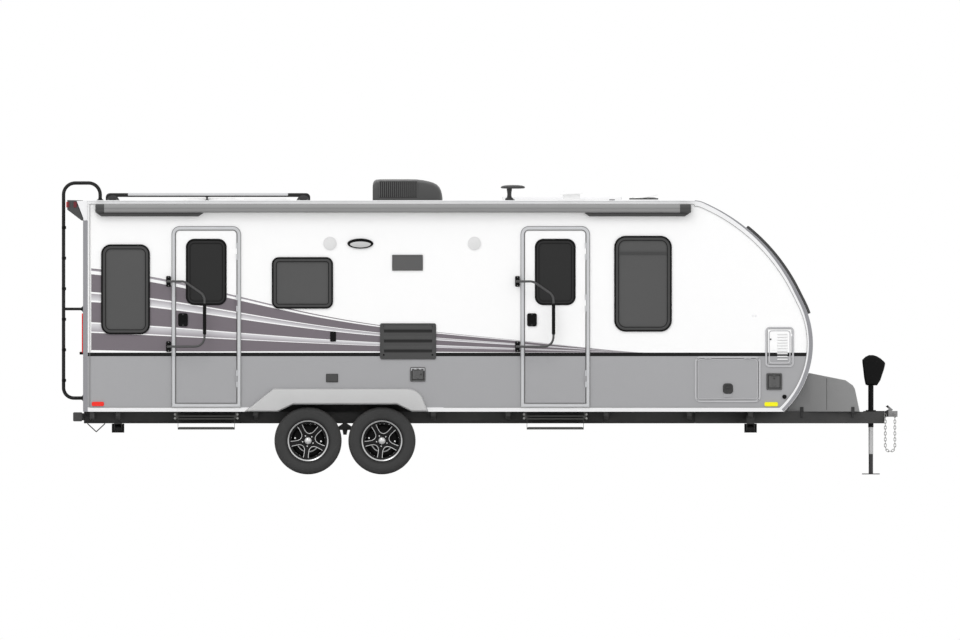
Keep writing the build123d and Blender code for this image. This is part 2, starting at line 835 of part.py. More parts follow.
for name, x in entry_doors:
    window_lap_width = door_window_width - 2 * window_lap
    window_lap_height = door_window_height - 2 * window_lap
    with BuildPart() as door:
        with BuildSketch(side_plane(-1).offset(door_leaf_proud)):
            add(arched_rectangle(x, door_middle_z, leaf_width, leaf_height, leaf_corner))
            with Locations((x, door_window_z)):
                RectangleRounded(window_lap_width + 2 * fit, window_lap_height + 2 * fit,
                                 door_window_corner - window_lap, mode=Mode.SUBTRACT)
        extrude(amount=-wall)
        # Paddle latch on the free edge
        with BuildSketch(side_plane(-1).offset(door_leaf_proud)):
            with Locations((x - latch_from_middle, latch_z)):
                RectangleRounded(latch_width, latch_height, latch_corner)
        extrude(amount=latch_proud, taper=20)
        for row in knuckle_rows:
            seat = hinge_plane(x + leaf_width / 2 + door_gap / 2, door_middle_z + row * leaf_height, door_hinge_out)
            with BuildSketch(seat):
                add(knuckle(hinge_knuckle_radius, -hinge_tab, door_hinge_out - door_leaf_proud,
                            hinge_pin_radius + fit))
            extrude(amount=hinge_knuckle_length / 2, both=True)
    door.part.label = f"door_{name}"
    export_step(door.part, f"parts/door_{name}.step")

    with BuildPart() as door_window:
        with BuildSketch(side_plane(-1).offset(door_leaf_proud)):
            with Locations((x, door_window_z)):
                RectangleRounded(door_window_width, door_window_height, door_window_corner)
                RectangleRounded(door_window_width - 2 * door_window_frame,
                                 door_window_height - 2 * door_window_frame,
                                 door_window_corner - door_window_frame, mode=Mode.SUBTRACT)
        extrude(amount=door_window_proud)
        with BuildSketch(side_plane(-1).offset(door_leaf_proud)):
            with Locations((x, door_window_z)):
                RectangleRounded(window_lap_width, window_lap_height, door_window_corner - window_lap)
        extrude(amount=-glass)
    door_window.part.label = f"door_{name}_window"
    export_step(door_window.part, f"parts/door_{name}_window.step")

# ---------------------------------------------------------------- folding grab handles
with BuildPart() as side_fittings:
    for _, x in entry_doors:
        for z in (grab_high_z, grab_low_z):
            with BuildSketch(side_plane(-1)):
                with Locations((x - grab_plate_from_door, z)):
                    RectangleRounded(grab_plate_width, grab_plate_height, 12)
            extrude(amount=grab_plate_thickness)
            for way in (-1, 1):
                ear_low = z + way * (grab_barrel / 2 + 1 + grab_ear / 2) - grab_ear / 2
                with BuildSketch(Plane.XY.offset(ear_low)):
                    with Locations((x - grab_from_door, -half_width)):
                        Rectangle(grab_ear_width, grab_pin_out, align=(Align.CENTER, Align.MAX))
                    with Locations((x - grab_from_door, -half_width - grab_pin_out)):
                        Circle(grab_ear_width / 2)
                extrude(amount=grab_ear)
            with BuildSketch(Plane.XY.offset(z - grab_barrel / 2 - 1)):
                with Locations((x - grab_from_door, -half_width - grab_pin_out)):
                    Circle(grab_pin_radius)
            extrude(amount=grab_barrel + 2)
    # Round speakers and the oval porch light
    for x, z in speakers:
        with BuildSketch(side_plane(-1)):
            with Locations((x, z)):
                Circle(speaker_radius)
        extrude(amount=speaker_proud, taper=40)
    for share, depth in porch_light_tiers:
        with BuildSketch(side_plane(-1)):
            with Locations(porch_light):
                Ellipse(porch_light_radii[0] * share, porch_light_radii[1] * share)
        extrude(amount=depth)
    for x, z, width, height in receptacles:
        with BuildSketch(side_plane(-1)):
            with Locations((x, z)):
                RectangleRounded(width, height, 8)
        extrude(amount=receptacle_proud)
side_fittings.part.label = "side_fittings"
export_step(side_fittings.part, "parts/side_fittings.step")

for name, x in entry_doors:
    pin = (x - grab_from_door, -half_width - grab_pin_out)
    out_y = pin[1] - grab_leg
    grip_x = pin[0] + grab_reach
    with BuildPart() as grab_handle:
        with BuildLine():
            FilletPolyline((pin[0], pin[1], grab_high_z), (pin[0], out_y, grab_high_z), (grip_x, out_y, grab_high_z),
                           (grip_x, out_y, grab_low_z), (pin[0], out_y, grab_low_z), (pin[0], pin[1], grab_low_z),
                           radius=[grab_leg_bend, grab_upper_bend, grab_lower_bend, grab_leg_bend])
        with BuildSketch(Plane.XZ.offset(-pin[1])):
            with Locations((pin[0], grab_high_z)):
                Circle(grab_tube_radius)
        sweep()
        with BuildSketch(Plane.XY.offset(grip_low_z)):
            with Locations((grip_x, out_y)):
                Circle(grip_radius)
        extrude(amount=grip_high_z - grip_low_z)
        for z in (grab_high_z, grab_low_z):
            with BuildSketch(Plane.XY.offset(z - grab_barrel / 2)):
                with Locations(pin):
                    Circle(grab_barrel_radius)
            extrude(amount=grab_barrel)
            with BuildSketch(Plane.XY.offset(z - grab_barrel / 2)):
                with Locations(pin):
                    Circle(grab_pin_radius + fit)
            extrude(amount=grab_barrel, mode=Mode.SUBTRACT)
    grab_handle.part.label = f"grab_handle_{name}"
    export_step(grab_handle.part, f"parts/grab_handle_{name}.step")

# ---------------------------------------------------------------- hatches
with BuildPart() as hatch_frames:
    for name, x, z, width, height, corner, edge in hatches:
        flange = 2 * hatch_flange
        plug = flange - 2 * hatch_liner
        with BuildSketch(side_plane(-1)):
            with Locations((x, z)):
                RectangleRounded(width, height, corner)
                Rectangle(width - flange, height - flange, mode=Mode.SUBTRACT)
        extrude(amount=hatch_flange_proud)
        with BuildSketch(side_plane(-1)):
            with Locations((x, z)):
                Rectangle(width - plug, height - plug)
                Rectangle(width - flange, height - flange, mode=Mode.SUBTRACT)
        extrude(amount=-wall)
        for seat in hatch_hinges(x, z, width, height, edge):
            for way in (-1, 1):
                with BuildSketch(seat.offset(way * (hatch_knuckle_length + 1))):
                    add(knuckle(hatch_knuckle_radius, hatch_tab, hatch_pin_out - hatch_flange_proud))
                extrude(amount=hatch_knuckle_length / 2, both=True)
            with BuildSketch(seat):
                Circle(hatch_pin_radius)
            extrude(amount=hatch_knuckle_length, both=True)
hatch_frames.part.label = "hatch_frames"
export_step(hatch_frames.part, "parts/hatch_frames.step")

for name, x, z, width, height, corner, edge in hatches:
    lid_width = width - 2 * hatch_flange - 2 * hatch_gap
    lid_height = height - 2 * hatch_flange - 2 * hatch_gap
    with BuildPart() as hatch:
        with BuildSketch(side_plane(-1).offset(hatch_leaf_proud)):
            with Locations((x, z)):
                Rectangle(lid_width, lid_height)
        extrude(amount=-hatch_leaf_thickness)
        latch_at = (x, z - lid_height / 2 + min(hatch_latch_up, lid_height / 4))
        if edge == "front":
            latch_at = (x - lid_width / 2 + hatch_latch_up, z)
            pitch = (lid_height - 2 * louvre_margin) / louvre_count
            with BuildSketch(side_plane(-1).offset(hatch_leaf_proud)):
                with Locations((x + louvre_shift, z)):
                    with GridLocations(0, pitch, 1, louvre_count):
                        Rectangle(louvre_length, louvre_slot)
            extrude(amount=-hatch_leaf_thickness / 2, mode=Mode.SUBTRACT)
        size = min(hatch_latch, lid_width / 4)
        with BuildSketch(side_plane(-1).offset(hatch_leaf_proud)):
            with Locations(latch_at):
                RectangleRounded(size, size, size / 5)
        extrude(amount=hatch_latch_proud)
        for seat in hatch_hinges(x, z, width, height, edge):
            with BuildSketch(seat):
                add(knuckle(hatch_knuckle_radius, -hatch_tab, hatch_pin_out - hatch_leaf_proud, hatch_pin_radius + fit))
            extrude(amount=hatch_knuckle_length / 2, both=True)
    hatch.part.label = name
    export_step(hatch.part, f"parts/{name}.step")

# ---------------------------------------------------------------- wheels
with BuildPart() as tyre:
    with BuildSketch(Plane.XY):
        with BuildLine():
            Polyline((tyre_bead_radius, -rim_half_width), (tyre_side_radius, -tyre_half_width),
                     (tyre_radius, -tread_half_width), (tyre_radius, tread_half_width),
                     (tyre_side_radius, tyre_half_width), (tyre_bead_radius, rim_half_width), close=True)
        make_face()
    revolve(axis=Axis.Y)

# The rim's outer side is +Y: flange and barrel, a dished disc cut between its spokes, and the hub
with BuildPart() as rim:
    barrel = tyre_bead_radius - fit
    bead_slope = (tyre_half_width - rim_half_width) / (tyre_side_radius - tyre_bead_radius)
    lip_seat = rim_half_width + fit + bead_slope * (rim_radius - tyre_bead_radius)
    lip = lip_seat + rim_lip
    with BuildSketch(Plane.XY):
        with BuildLine():
            Polyline((barrel - rim_sheet, -rim_half_width), (rim_radius, -lip), (rim_radius, -lip_seat),
                     (barrel, -rim_half_width - fit), (barrel, rim_half_width + fit), (rim_radius, lip_seat),
                     (rim_radius, lip), (barrel - rim_sheet, rim_half_width), close=True)
        make_face()
    revolve(axis=Axis.Y)
    with BuildSketch(Plane.XY):
        with BuildLine():
            Polyline((spindle_radius + 0.5, -hub_depth), (hub_radius, -hub_depth),
                     (hub_radius, disc_y - spoke_thickness), (barrel - rim_sheet + 1, rim_half_width - spoke_thickness),
                     (barrel - rim_sheet + 1, rim_half_width), (hub_radius, disc_y),
                     (cap_radius, disc_y + cap_proud), (0, disc_y + cap_proud), (0, disc_y - cap_back),
                     (spindle_radius + 0.5, disc_y - cap_back), close=True)
        make_face()
    revolve(axis=Axis.Y)
    with BuildSketch(Plane.XZ.offset(-rim_half_width - rim_lip)):
        with PolarLocations(0, spoke_count, start_angle=spoke_first + 180 / spoke_count):
            Polygon(*spoke_window, *[(along, -across) for along, across in spoke_window[-2:0:-1]], align=None)
    extrude(amount=2 * rim_half_width, mode=Mode.SUBTRACT)

for side, side_name in ((-1, "right"), (1, "left")):
    for place, x in axle_x.items():
        turn = 180 if side < 0 else 0
        for piece, piece_name in ((tyre, "tyre"), (rim, "rim")):
            with BuildPart() as wheel_piece:
                with Locations(Location((x, side * wheel_y, tyre_radius), (0, 0, turn))):
                    add(piece.part)
            wheel_piece.part.label = f"{piece_name}_{side_name}_{place}"
            export_step(wheel_piece.part, f"parts/{piece_name}_{side_name}_{place}.step")

# ---------------------------------------------------------------- slide-out steps
for name, x in entry_doors:
    with BuildPart() as step:
        for z, thickness, depth in step_treads:
            with BuildSketch(Plane.XY.offset(z)):
                with Locations((x, step_y)):
                    Rectangle(2 * step_half_width, depth)
            extrude(amount=thickness)
        for way in (-1, 1):
            with BuildSketch(Plane.YZ.offset(x + way * step_half_width)):
                with BuildLine():
                    low_z = step_treads[0][0]
                    Polyline((step_y - step_depth / 2, low_z), (step_y + step_depth / 2, low_z),
                             (step_y + step_depth / 2, step_top_z), (step_y - step_depth / 2, step_top_z), close=True)
                make_face()
            extrude(amount=way * step_sheet)
            with BuildSketch(Plane.YZ.offset(x + way * (step_half_width + step_sheet))):
                with Locations((step_y, runner_z)):
                    Rectangle(step_depth, runner_size)
            extrude(amount=way * runner_size)
    step.part.label = f"step_{name}"
    export_step(step.part, f"parts/step_{name}.step")

with BuildPart() as step_brackets:
    for _, x in entry_doors:
        for way in (-1, 1):
            inner = step_half_width + step_sheet + runner_lip_gap
            outer = step_half_width + step_sheet + runner_size + runner_side_gap
            low = runner_z - runner_size / 2 - runner_gap - channel_sheet
            with BuildSketch(Plane.XZ.offset(-step_y - step_depth / 2)):
                with BuildLine():
                    Polyline((x + way * inner, low), (x + way * (outer + channel_sheet), low),
                             (x + way * (outer + channel_sheet), skirt_z), (x + way * inner, skirt_z), close=True)
                make_face()
                with Locations((x + way * (outer - runner_size), runner_z)):
                    Rectangle(2 * runner_size, runner_size + 2 * runner_gap, mode=Mode.SUBTRACT)
            extrude(amount=step_depth)
step_brackets.part.label = "step_brackets"
export_step(step_brackets.part, "parts/step_brackets.step")

# ---------------------------------------------------------------- corner stabilisers
for side, side_name in ((-1, "right"), (1, "left")):
    for x, place in zip(stabiliser_x, ("rear", "front")):
        with BuildPart() as leg:
            pin_y = side * stabiliser_pin_y
            with BuildSketch(Plane.XZ.offset(-pin_y)):
                with Locations((x, stabiliser_z)):
                    Rectangle(leg_width, leg_depth)
                    with Locations((0, -leg_sheet)):
                        Rectangle(leg_width - 2 * leg_sheet, leg_depth, mode=Mode.SUBTRACT)
            extrude(amount=side * leg_length)
            with BuildSketch(Plane.XZ.offset(-pin_y + side * leg_length)):
                with Locations((x, stabiliser_z)):
                    Rectangle(foot_width, foot_height)
            extrude(amount=side * foot_sheet)
            with BuildSketch(Plane.YZ.offset(x)):
                with Locations((pin_y, stabiliser_z)):
                    Circle(leg_depth / 2)
                    Circle(stabiliser_pin_radius + fit, mode=Mode.SUBTRACT)
            extrude(amount=leg_width / 2, both=True)
            with BuildSketch(Plane.YZ.offset(x)):
                with Locations((pin_y, stabiliser_z)):
                    Circle(stabiliser_pin_radius + fit)
            extrude(amount=leg_width / 2, both=True, mode=Mode.SUBTRACT)
        leg.part.label = f"stabiliser_{side_name}_{place}"
        export_step(leg.part, f"parts/stabiliser_{side_name}_{place}.step")

# ---------------------------------------------------------------- coupler and jack
def chain_joint(number):
    """Where chain link number meets the one before: down the rear strand, round the loop, up the front."""
    loop_radius = chain_pitch / (2 * sin(radians(90 / loop_links)))
    top_z = chain_pin_z + chain_pin_radius
    loop_z = top_z - strand_links * chain_pitch
    if number <= strand_links:
        return (chain_x - loop_radius, top_z - number * chain_pitch)
    if number >= strand_links + loop_links:
        return (chain_x + loop_radius, loop_z + (number - strand_links - loop_links) * chain_pitch)
    way = radians(180 + 180 * (number - strand_links) / loop_links)
    return (chain_x + loop_radius * cos(way), loop_z + loop_radius * sin(way))


with BuildPart() as coupler:
    with BuildSketch(Plane.XY.offset(skirt_z)):
        with BuildLine():
            rear_half = drawbar_y(coupler_rear_x) + drawbar_half
            Polyline((coupler_rear_x, -rear_half), (coupler_rear_x, rear_half),
                     (drawbar_tip_x, drawbar_tip_y + drawbar_half), (ball_x, dome_radius), (ball_x, -dome_radius),
                     (drawbar_tip_x, -drawbar_tip_y - drawbar_half), close=True)
        make_face()
        with Locations((jack_x, 0)):
            Circle(jack_tube_radius + fit, mode=Mode.SUBTRACT)
    extrude(amount=coupler_plate)
    with BuildSketch(Plane.XY.offset(dome_low_z)):
        with BuildLine():
            Polyline((drawbar_tip_x + fit, -drawbar_tip_y - drawbar_half), (ball_x, -dome_radius), (ball_x, dome_radius),
                     (drawbar_tip_x + fit, drawbar_tip_y + drawbar_half), close=True)
        make_face()
        with Locations((ball_x, 0)):
            Circle(dome_radius)
    extrude(amount=skirt_z + coupler_plate - dome_low_z)
    with BuildSketch(Plane.XY.offset(dome_low_z)):
        with Locations((ball_x, 0)):
            Circle(ball_socket_radius)
    extrude(amount=ball_socket_depth, mode=Mode.SUBTRACT)
    for side in (-1, 1):
        with BuildSketch(Plane.XZ.offset(-side * chain_pin_root)):
            with Locations((chain_joint(0)[0], chain_pin_z), (chain_joint(2 * strand_links + loop_links)[0], chain_pin_z)):
                Circle(chain_pin_radius)
        extrude(amount=-side * (chain_y + link_wire - chain_pin_root))
    # Latch lever on top
    with BuildSketch(Plane.XZ):
        with BuildLine():
            plate_top = skirt_z + coupler_plate
            Polyline((ball_x - 85, plate_top), (ball_x - 20, plate_top), (ball_x - 5, plate_top + 12),
                     (ball_x - 62, plate_top + 62), (ball_x - 85, plate_top + 50), (ball_x - 50, plate_top + 20),
                     close=True)
        make_face()
    extrude(amount=14, both=True)
coupler.part.label = "coupler"
export_step(coupler.part, "parts/coupler.step")

with BuildPart() as jack_body:
    with BuildSketch(Plane.XY.offset(jack_tube_low)):
        with Locations((jack_x, 0)):
            Circle(jack_tube_radius)
    extrude(amount=jack_head_low - jack_tube_low)
    with BuildSketch(Plane.XY.offset(skirt_z + coupler_plate)):
        with Locations((jack_x, 0)):
            Circle(jack_flange_radius)
    extrude(amount=10)
    with BuildSketch(Plane.XY.offset(jack_tube_low)):
        with Locations((jack_x, 0)):
            Circle(jack_leg_radius + 0.5)
    extrude(amount=jack_head_low - jack_tube_low - 20, mode=Mode.SUBTRACT)
    # Drive head: side view outline, rounded in front view
    with BuildSketch(Plane.XZ):
        with BuildLine():
            Polyline(*[(jack_x + dx, jack_head_low + dz) for dx, dz in jack_head], close=True)
        make_face()
    extrude(amount=jack_head_half_width, both=True)
    head_edges = edges().filter_by(Axis.Y, reverse=True).filter_by_position(
        Axis.Y, jack_head_half_width - 1, jack_head_half_width + 1)
    far_edges = edges().filter_by(Axis.Y, reverse=True).filter_by_position(
        Axis.Y, -jack_head_half_width - 1, -jack_head_half_width + 1)
    chamfer(head_edges + far_edges, 18)
jack_body.part.label = "jack_body"
export_step(jack_body.part, "parts/jack_body.step")

with BuildPart() as jack_leg:
    for low, high, radius in ((0, foot_plate, foot_plate_radius), (foot_plate, jack_drop_top, jack_drop_radius),
                              (jack_drop_top, jack_leg_top, jack_leg_radius)):
        with BuildSketch(Plane.XY.offset(low)):
            with Locations((jack_x, 0)):
                Circle(radius)
        extrude(amount=high - low)
jack_leg.part.label = "jack_leg"
export_step(jack_leg.part, "parts/jack_leg.step")

with BuildPart() as tongue_cover:
    with BuildSketch(Plane.XZ):
        with BuildLine():
            Polyline(*cover_profile, close=True)
        make_face()
        add(body_shape(outset=cover_gap, low=0), mode=Mode.SUBTRACT)
    extrude(amount=cover_rear_half, both=True)
    with BuildSketch(Plane.XY):
        with BuildLine():
            front = cover_profile[1][0]
            Polyline((shoulder_x, -cover_rear_half), (cover_taper_x, -cover_rear_half), (front, -cover_front_half),
                     (front, cover_front_half), (cover_taper_x, cover_rear_half), (shoulder_x, cover_rear_half),
                     close=True)
        make_face()
    extrude(amount=roof_z, mode=Mode.INTERSECT)
tongue_cover.part.label = "tongue_cover"
export_step(tongue_cover.part, "parts/tongue_cover.step")

# ---------------------------------------------------------------- safety chains
with BuildPart() as link:
    with BuildSketch():
        with BuildLine():
            Polyline(*[(dx * link_length, dy * link_width) for dx, dy in link_outline], close=True)
        make_face()
        with BuildLine():
            Polyline(*[(dx * (link_length - 2 * link_wire), dy * (link_width - 2 * link_wire))
                       for dx, dy in link_outline], close=True)
        make_face(mode=Mode.SUBTRACT)
    extrude(amount=link_wire / 2, both=True)

link_places = []
for side in (-1, 1):
    for number in range(2 * strand_links + loop_links):
        (x, z), (next_x, next_z) = chain_joint(number), chain_joint(number + 1)
        along = (next_x - x, 0, next_z - z)
        across = (z - next_z, 0, next_x - x) if number % 2 else (0, 1, 0)
        link_places.append(Plane(origin=((x + next_x) / 2, side * chain_y, (z + next_z) / 2), x_dir=along, z_dir=across))
with BuildPart() as safety_chains:
    with Locations(*link_places):
        add(link.part)
safety_chains.part.label = "safety_chains"
export_step(safety_chains.part, "parts/safety_chains.step")

# ---------------------------------------------------------------- awning
with BuildPart() as awning_case:
    with BuildSketch(Plane.YZ.offset(awning_rear_x)):
        with BuildLine():
            back = -half_width
            top = roof_z - trim_roof - fit
            low = top - awning_height
            Polyline((back, low), (back, top), (back - awning_depth + 30, top), (back - awning_depth, top - 26),
                     (back - awning_depth, low + 34), (back - awning_depth + 26, low), close=True)
        make_face()
    extrude(amount=awning_front_x - awning_rear_x)
awning_case.part.label = "awning_case"
export_step(awning_case.part, "parts/awning_case.step")

with BuildPart() as awning_arms:
    for rear, front in awning_arm_spans:
        with BuildSketch(Plane.XZ.offset(half_width)):
            with BuildLine():
                top = roof_z - trim_roof - fit - awning_height
                Polyline((rear, top), (front, top), (front - arm_slope, top - awning_arm_height),
                         (rear + arm_slope, top - awning_arm_height), close=True)
            make_face()
        extrude(amount=awning_arm_depth)
awning_arms.part.label = "awning_arms"
export_step(awning_arms.part, "parts/awning_arms.step")

# ---------------------------------------------------------------- roof fittings
with BuildPart() as roof_rack:
    for side in (-1, 1):
        with BuildSketch(Plane.YZ.offset(rack_rear_x)):
            with Locations((side * rack_y, rack_rail_z)):
                RectangleRounded(rack_rail_width, rack_rail_height, 8)
        extrude(amount=rack_front_x - rack_rear_x)
        for low_x, high_x in rack_feet:
            with BuildSketch(Plane.XZ.offset(-side * rack_y)):
                with BuildLine():
                    top = rack_rail_z - rack_rail_height / 2 + 1
                    lean = min(30, (high_x - low_x) / 4)
                    Polyline((low_x, roof_z), (high_x, roof_z), (high_x - lean, top), (low_x + lean, top), close=True)
                make_face()
            extrude(amount=rack_foot_width / 2, both=True)
    for low_x, high_x in rack_feet:
        with BuildSketch(Plane.XZ):
            with Locations(((low_x + high_x) / 2, rack_rail_z)):
                Rectangle(rack_bar_width, rack_rail_height - 8)
        extrude(amount=rack_y, both=True)
roof_rack.part.label = "roof_rack"
export_step(roof_rack.part, "parts/roof_rack.step")

with BuildPart() as air_conditioner:
    with BuildSketch(Plane.XZ):
        with BuildLine():
            outline = [(ac_rear_x + dx, roof_z + dz) for dx, dz in ac_profile]
            Polyline(*outline, close=True)
        make_face()
    extrude(amount=ac_half_width, both=True)
    long_top = edges().filter_by(Axis.Y, reverse=True).group_by(Axis.Z)[-1]
    chamfer(long_top, 30)
    for side in (-1, 1):
        with BuildSketch(Plane.XZ.offset(-side * ac_half_width)):
            with Locations((ac_rear_x + ac_fin_middle, roof_z + ac_fin_z)):
                with GridLocations(ac_fin_length / ac_fin_count, 0, ac_fin_count, 1):
                    Rectangle(ac_fin_slot, ac_fin_height)
        extrude(amount=side * ac_fin_depth, mode=Mode.SUBTRACT)
air_conditioner.part.label = "air_conditioner"
export_step(air_conditioner.part, "parts/air_conditioner.step")

with BuildPart() as antenna:
    for low, high, radius in antenna_stack:
        with BuildSketch(Plane.XY.offset(roof_z + low)):
            with Locations((antenna_x if radius < antenna_dish else antenna_dish_x, antenna_y)):
                Circle(radius)
        extrude(amount=high - low)
antenna.part.label = "antenna"
export_step(antenna.part, "parts/antenna.step")

with BuildPart() as solar_panel:
    with BuildSketch(Plane.XY.offset(roof_z + solar_lift)):
        with Locations(((solar_rear_x + solar_front_x) / 2, solar_y)):
            Rectangle(solar_front_x - solar_rear_x, solar_width)
    extrude(amount=solar_thickness)
    with BuildSketch(Plane.XY.offset(roof_z)):
        with Locations(((solar_rear_x + solar_front_x) / 2, solar_y)):
            with GridLocations(solar_front_x - solar_rear_x - 200, solar_width - 40, 2, 2):
                Rectangle(60, 40)
    extrude(amount=solar_lift)
solar_panel.part.label = "solar_panel"
export_step(solar_panel.part, "parts/solar_panel.step")

with BuildPart() as roof_vents:
    for x, y, length, width, low_height, high_height, corner in vents:
        with BuildSketch(Plane.XZ.offset(-y)):
            with BuildLine():
                Polyline((x - length / 2, roof_z), (x + length / 2, roof_z), (x + length / 2 - 20, roof_z + high_height),
                         (x - length / 2 + 20, roof_z + low_height), close=True)
            make_face()
        extrude(amount=width / 2, both=True)
        with BuildSketch(Plane.XY.offset(roof_z)):
            with Locations((x, y)):
                Rectangle(length + 2 * corner, width + 2 * corner)
        extrude(amount=8)
roof_vents.part.label = "roof_vents"
export_step(roof_vents.part, "parts/roof_vents.step")

# ---------------------------------------------------------------- rear end
with BuildPart() as ladder:
    for way in (-1, 1):
        y = ladder_y + way * ladder_half_width
        with BuildLine():
            path = FilletPolyline((rear_x, y, ladder_foot_z), (ladder_x, y, ladder_foot_z), (ladder_x, y, ladder_top_z),
                                  (ladder_front_x, y, ladder_top_z), (ladder_front_x, y, roof_z),
                                  radius=[ladder_foot_bend, ladder_top_bend, ladder_top_bend])
        with BuildSketch(Plane(origin=path @ 0, z_dir=path % 0)):
            Circle(ladder_tube_radius)
        sweep()
        for z in ladder_standoffs:
            with BuildSketch(Plane.YZ.offset(ladder_x)):
                with Locations((y, z)):
                    Circle(ladder_tube_radius - 4)
            extrude(amount=rear_x - ladder_x)
    for number in range(rung_count):
        with BuildSketch(Plane.XZ.offset(-ladder_y)):
            with Locations((ladder_x, rung_low_z + number * rung_pitch)):
                Circle(rung_radius)
        extrude(amount=ladder_half_width, both=True)
ladder.part.label = "ladder"
export_step(ladder.part, "parts/ladder.step")

with BuildPart() as rear_spoiler:
    with BuildSketch(Plane.XZ):
        with BuildLine():
            Polyline(*[(rear_x - dx, z) for dx, z in spoiler_profile], close=True)
        make_face()
    extrude(amount=inside, both=True)
rear_spoiler.part.label = "rear_spoiler"
export_step(rear_spoiler.part, "parts/rear_spoiler.step")

with BuildPart() as lamps:
    for side in (-1, 1):
        for dx, y, z, depth, width, height in rear_lamps:
            with BuildSketch(Plane.YZ.offset(rear_x - dx)):
                with Locations((side * y, z)):
                    RectangleRounded(width, height, min(width, height) / 4)
            extrude(amount=-depth)
        for x, z, width, height in marker_lamps:
            with BuildSketch(side_plane(side)):
                with Locations((x, z)):
                    RectangleRounded(width, height, height / 3)
            extrude(amount=-side * marker_proud)
lamps.part.label = "lamps"
export_step(lamps.part, "parts/lamps.step")

with BuildPart() as bumper:
    with BuildSketch(Plane.XZ):
        with Locations((bumper_x, bumper_z)):
            RectangleRounded(bumper_size, bumper_size, 12)
    extrude(amount=bumper_half_length, both=True)
    for side in (-1, 1):
        with BuildSketch(Plane.YZ.offset(rail_rear_x)):
            with Locations((side * rail_y, bumper_z)):
                Rectangle(rail_width, bumper_size - 20)
        extrude(amount=bumper_x - rail_rear_x)
        with BuildSketch(Plane.XZ.offset(-side * rail_y)):
            with BuildLine():
                Polyline(*[(skid_x + dx, skirt_z - rail_height + dz) for dx, dz in skid_profile], close=True)
            make_face()
        extrude(amount=skid_wire / 2, both=True)
bumper.part.label = "bumper"
export_step(bumper.part, "parts/bumper.step")

# ---------------------------------------------------------------- louvred vents
with BuildPart() as side_vents:
    for side, x, z, width, height, rows in vent_panels:
        with BuildSketch(side_plane(side)):
            with Locations((x, z)):
                RectangleRounded(width, height, vent_corner)
        extrude(amount=-side * vent_proud)
        if rows:
            with BuildSketch(side_plane(side).offset(-side * vent_proud)):
                with Locations((x, z)):
                    with GridLocations(0, height / (rows + 1), 1, rows):
                        Rectangle(width - 60, vent_slot)
            extrude(amount=side * vent_depth, mode=Mode.SUBTRACT)
side_vents.part.label = "side_vents"
export_step(side_vents.part, "parts/side_vents.step")
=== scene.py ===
"""Looks of a twin-axle travel caravan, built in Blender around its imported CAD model.

Metres. +X points to the coupler, +Y to the left side, +Z up, with the ground at Z 0, as in the CAD.
Every finished piece keeps its place in its own mesh, so its object sits at the origin.
"""
from __future__ import annotations

import json
import logging
import math
from dataclasses import dataclass, field
from enum import Enum

import bmesh
import bpy
import numpy as np
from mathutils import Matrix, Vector

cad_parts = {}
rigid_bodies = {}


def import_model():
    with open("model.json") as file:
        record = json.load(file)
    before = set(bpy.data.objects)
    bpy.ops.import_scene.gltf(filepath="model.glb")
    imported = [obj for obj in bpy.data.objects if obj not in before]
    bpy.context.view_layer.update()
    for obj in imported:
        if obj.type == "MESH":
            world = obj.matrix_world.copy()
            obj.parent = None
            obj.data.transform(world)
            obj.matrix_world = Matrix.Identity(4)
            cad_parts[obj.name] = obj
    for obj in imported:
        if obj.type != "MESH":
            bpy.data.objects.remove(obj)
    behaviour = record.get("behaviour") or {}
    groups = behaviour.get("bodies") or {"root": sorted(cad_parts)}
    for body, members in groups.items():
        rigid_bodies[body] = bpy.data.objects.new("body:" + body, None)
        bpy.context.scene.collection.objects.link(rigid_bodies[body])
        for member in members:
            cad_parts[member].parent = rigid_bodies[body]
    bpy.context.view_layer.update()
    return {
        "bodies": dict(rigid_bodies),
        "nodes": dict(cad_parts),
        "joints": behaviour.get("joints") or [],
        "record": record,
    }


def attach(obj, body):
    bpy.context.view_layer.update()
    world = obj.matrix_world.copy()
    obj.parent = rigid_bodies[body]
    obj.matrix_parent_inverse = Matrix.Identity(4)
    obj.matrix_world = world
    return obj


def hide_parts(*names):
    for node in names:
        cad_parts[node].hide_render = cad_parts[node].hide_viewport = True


LOG = logging.getLogger("caravan")
ROOT = "caravan"
SHARP_ANGLE = math.radians(35)


class Side(Enum):
    """The two long sides of the caravan, valued by the sign of their Y."""

    RIGHT = -1
    LEFT = 1

    @property
    def word(self) -> str:
        """Name of the side as the CAD nodes write it."""
        return self.name.lower()


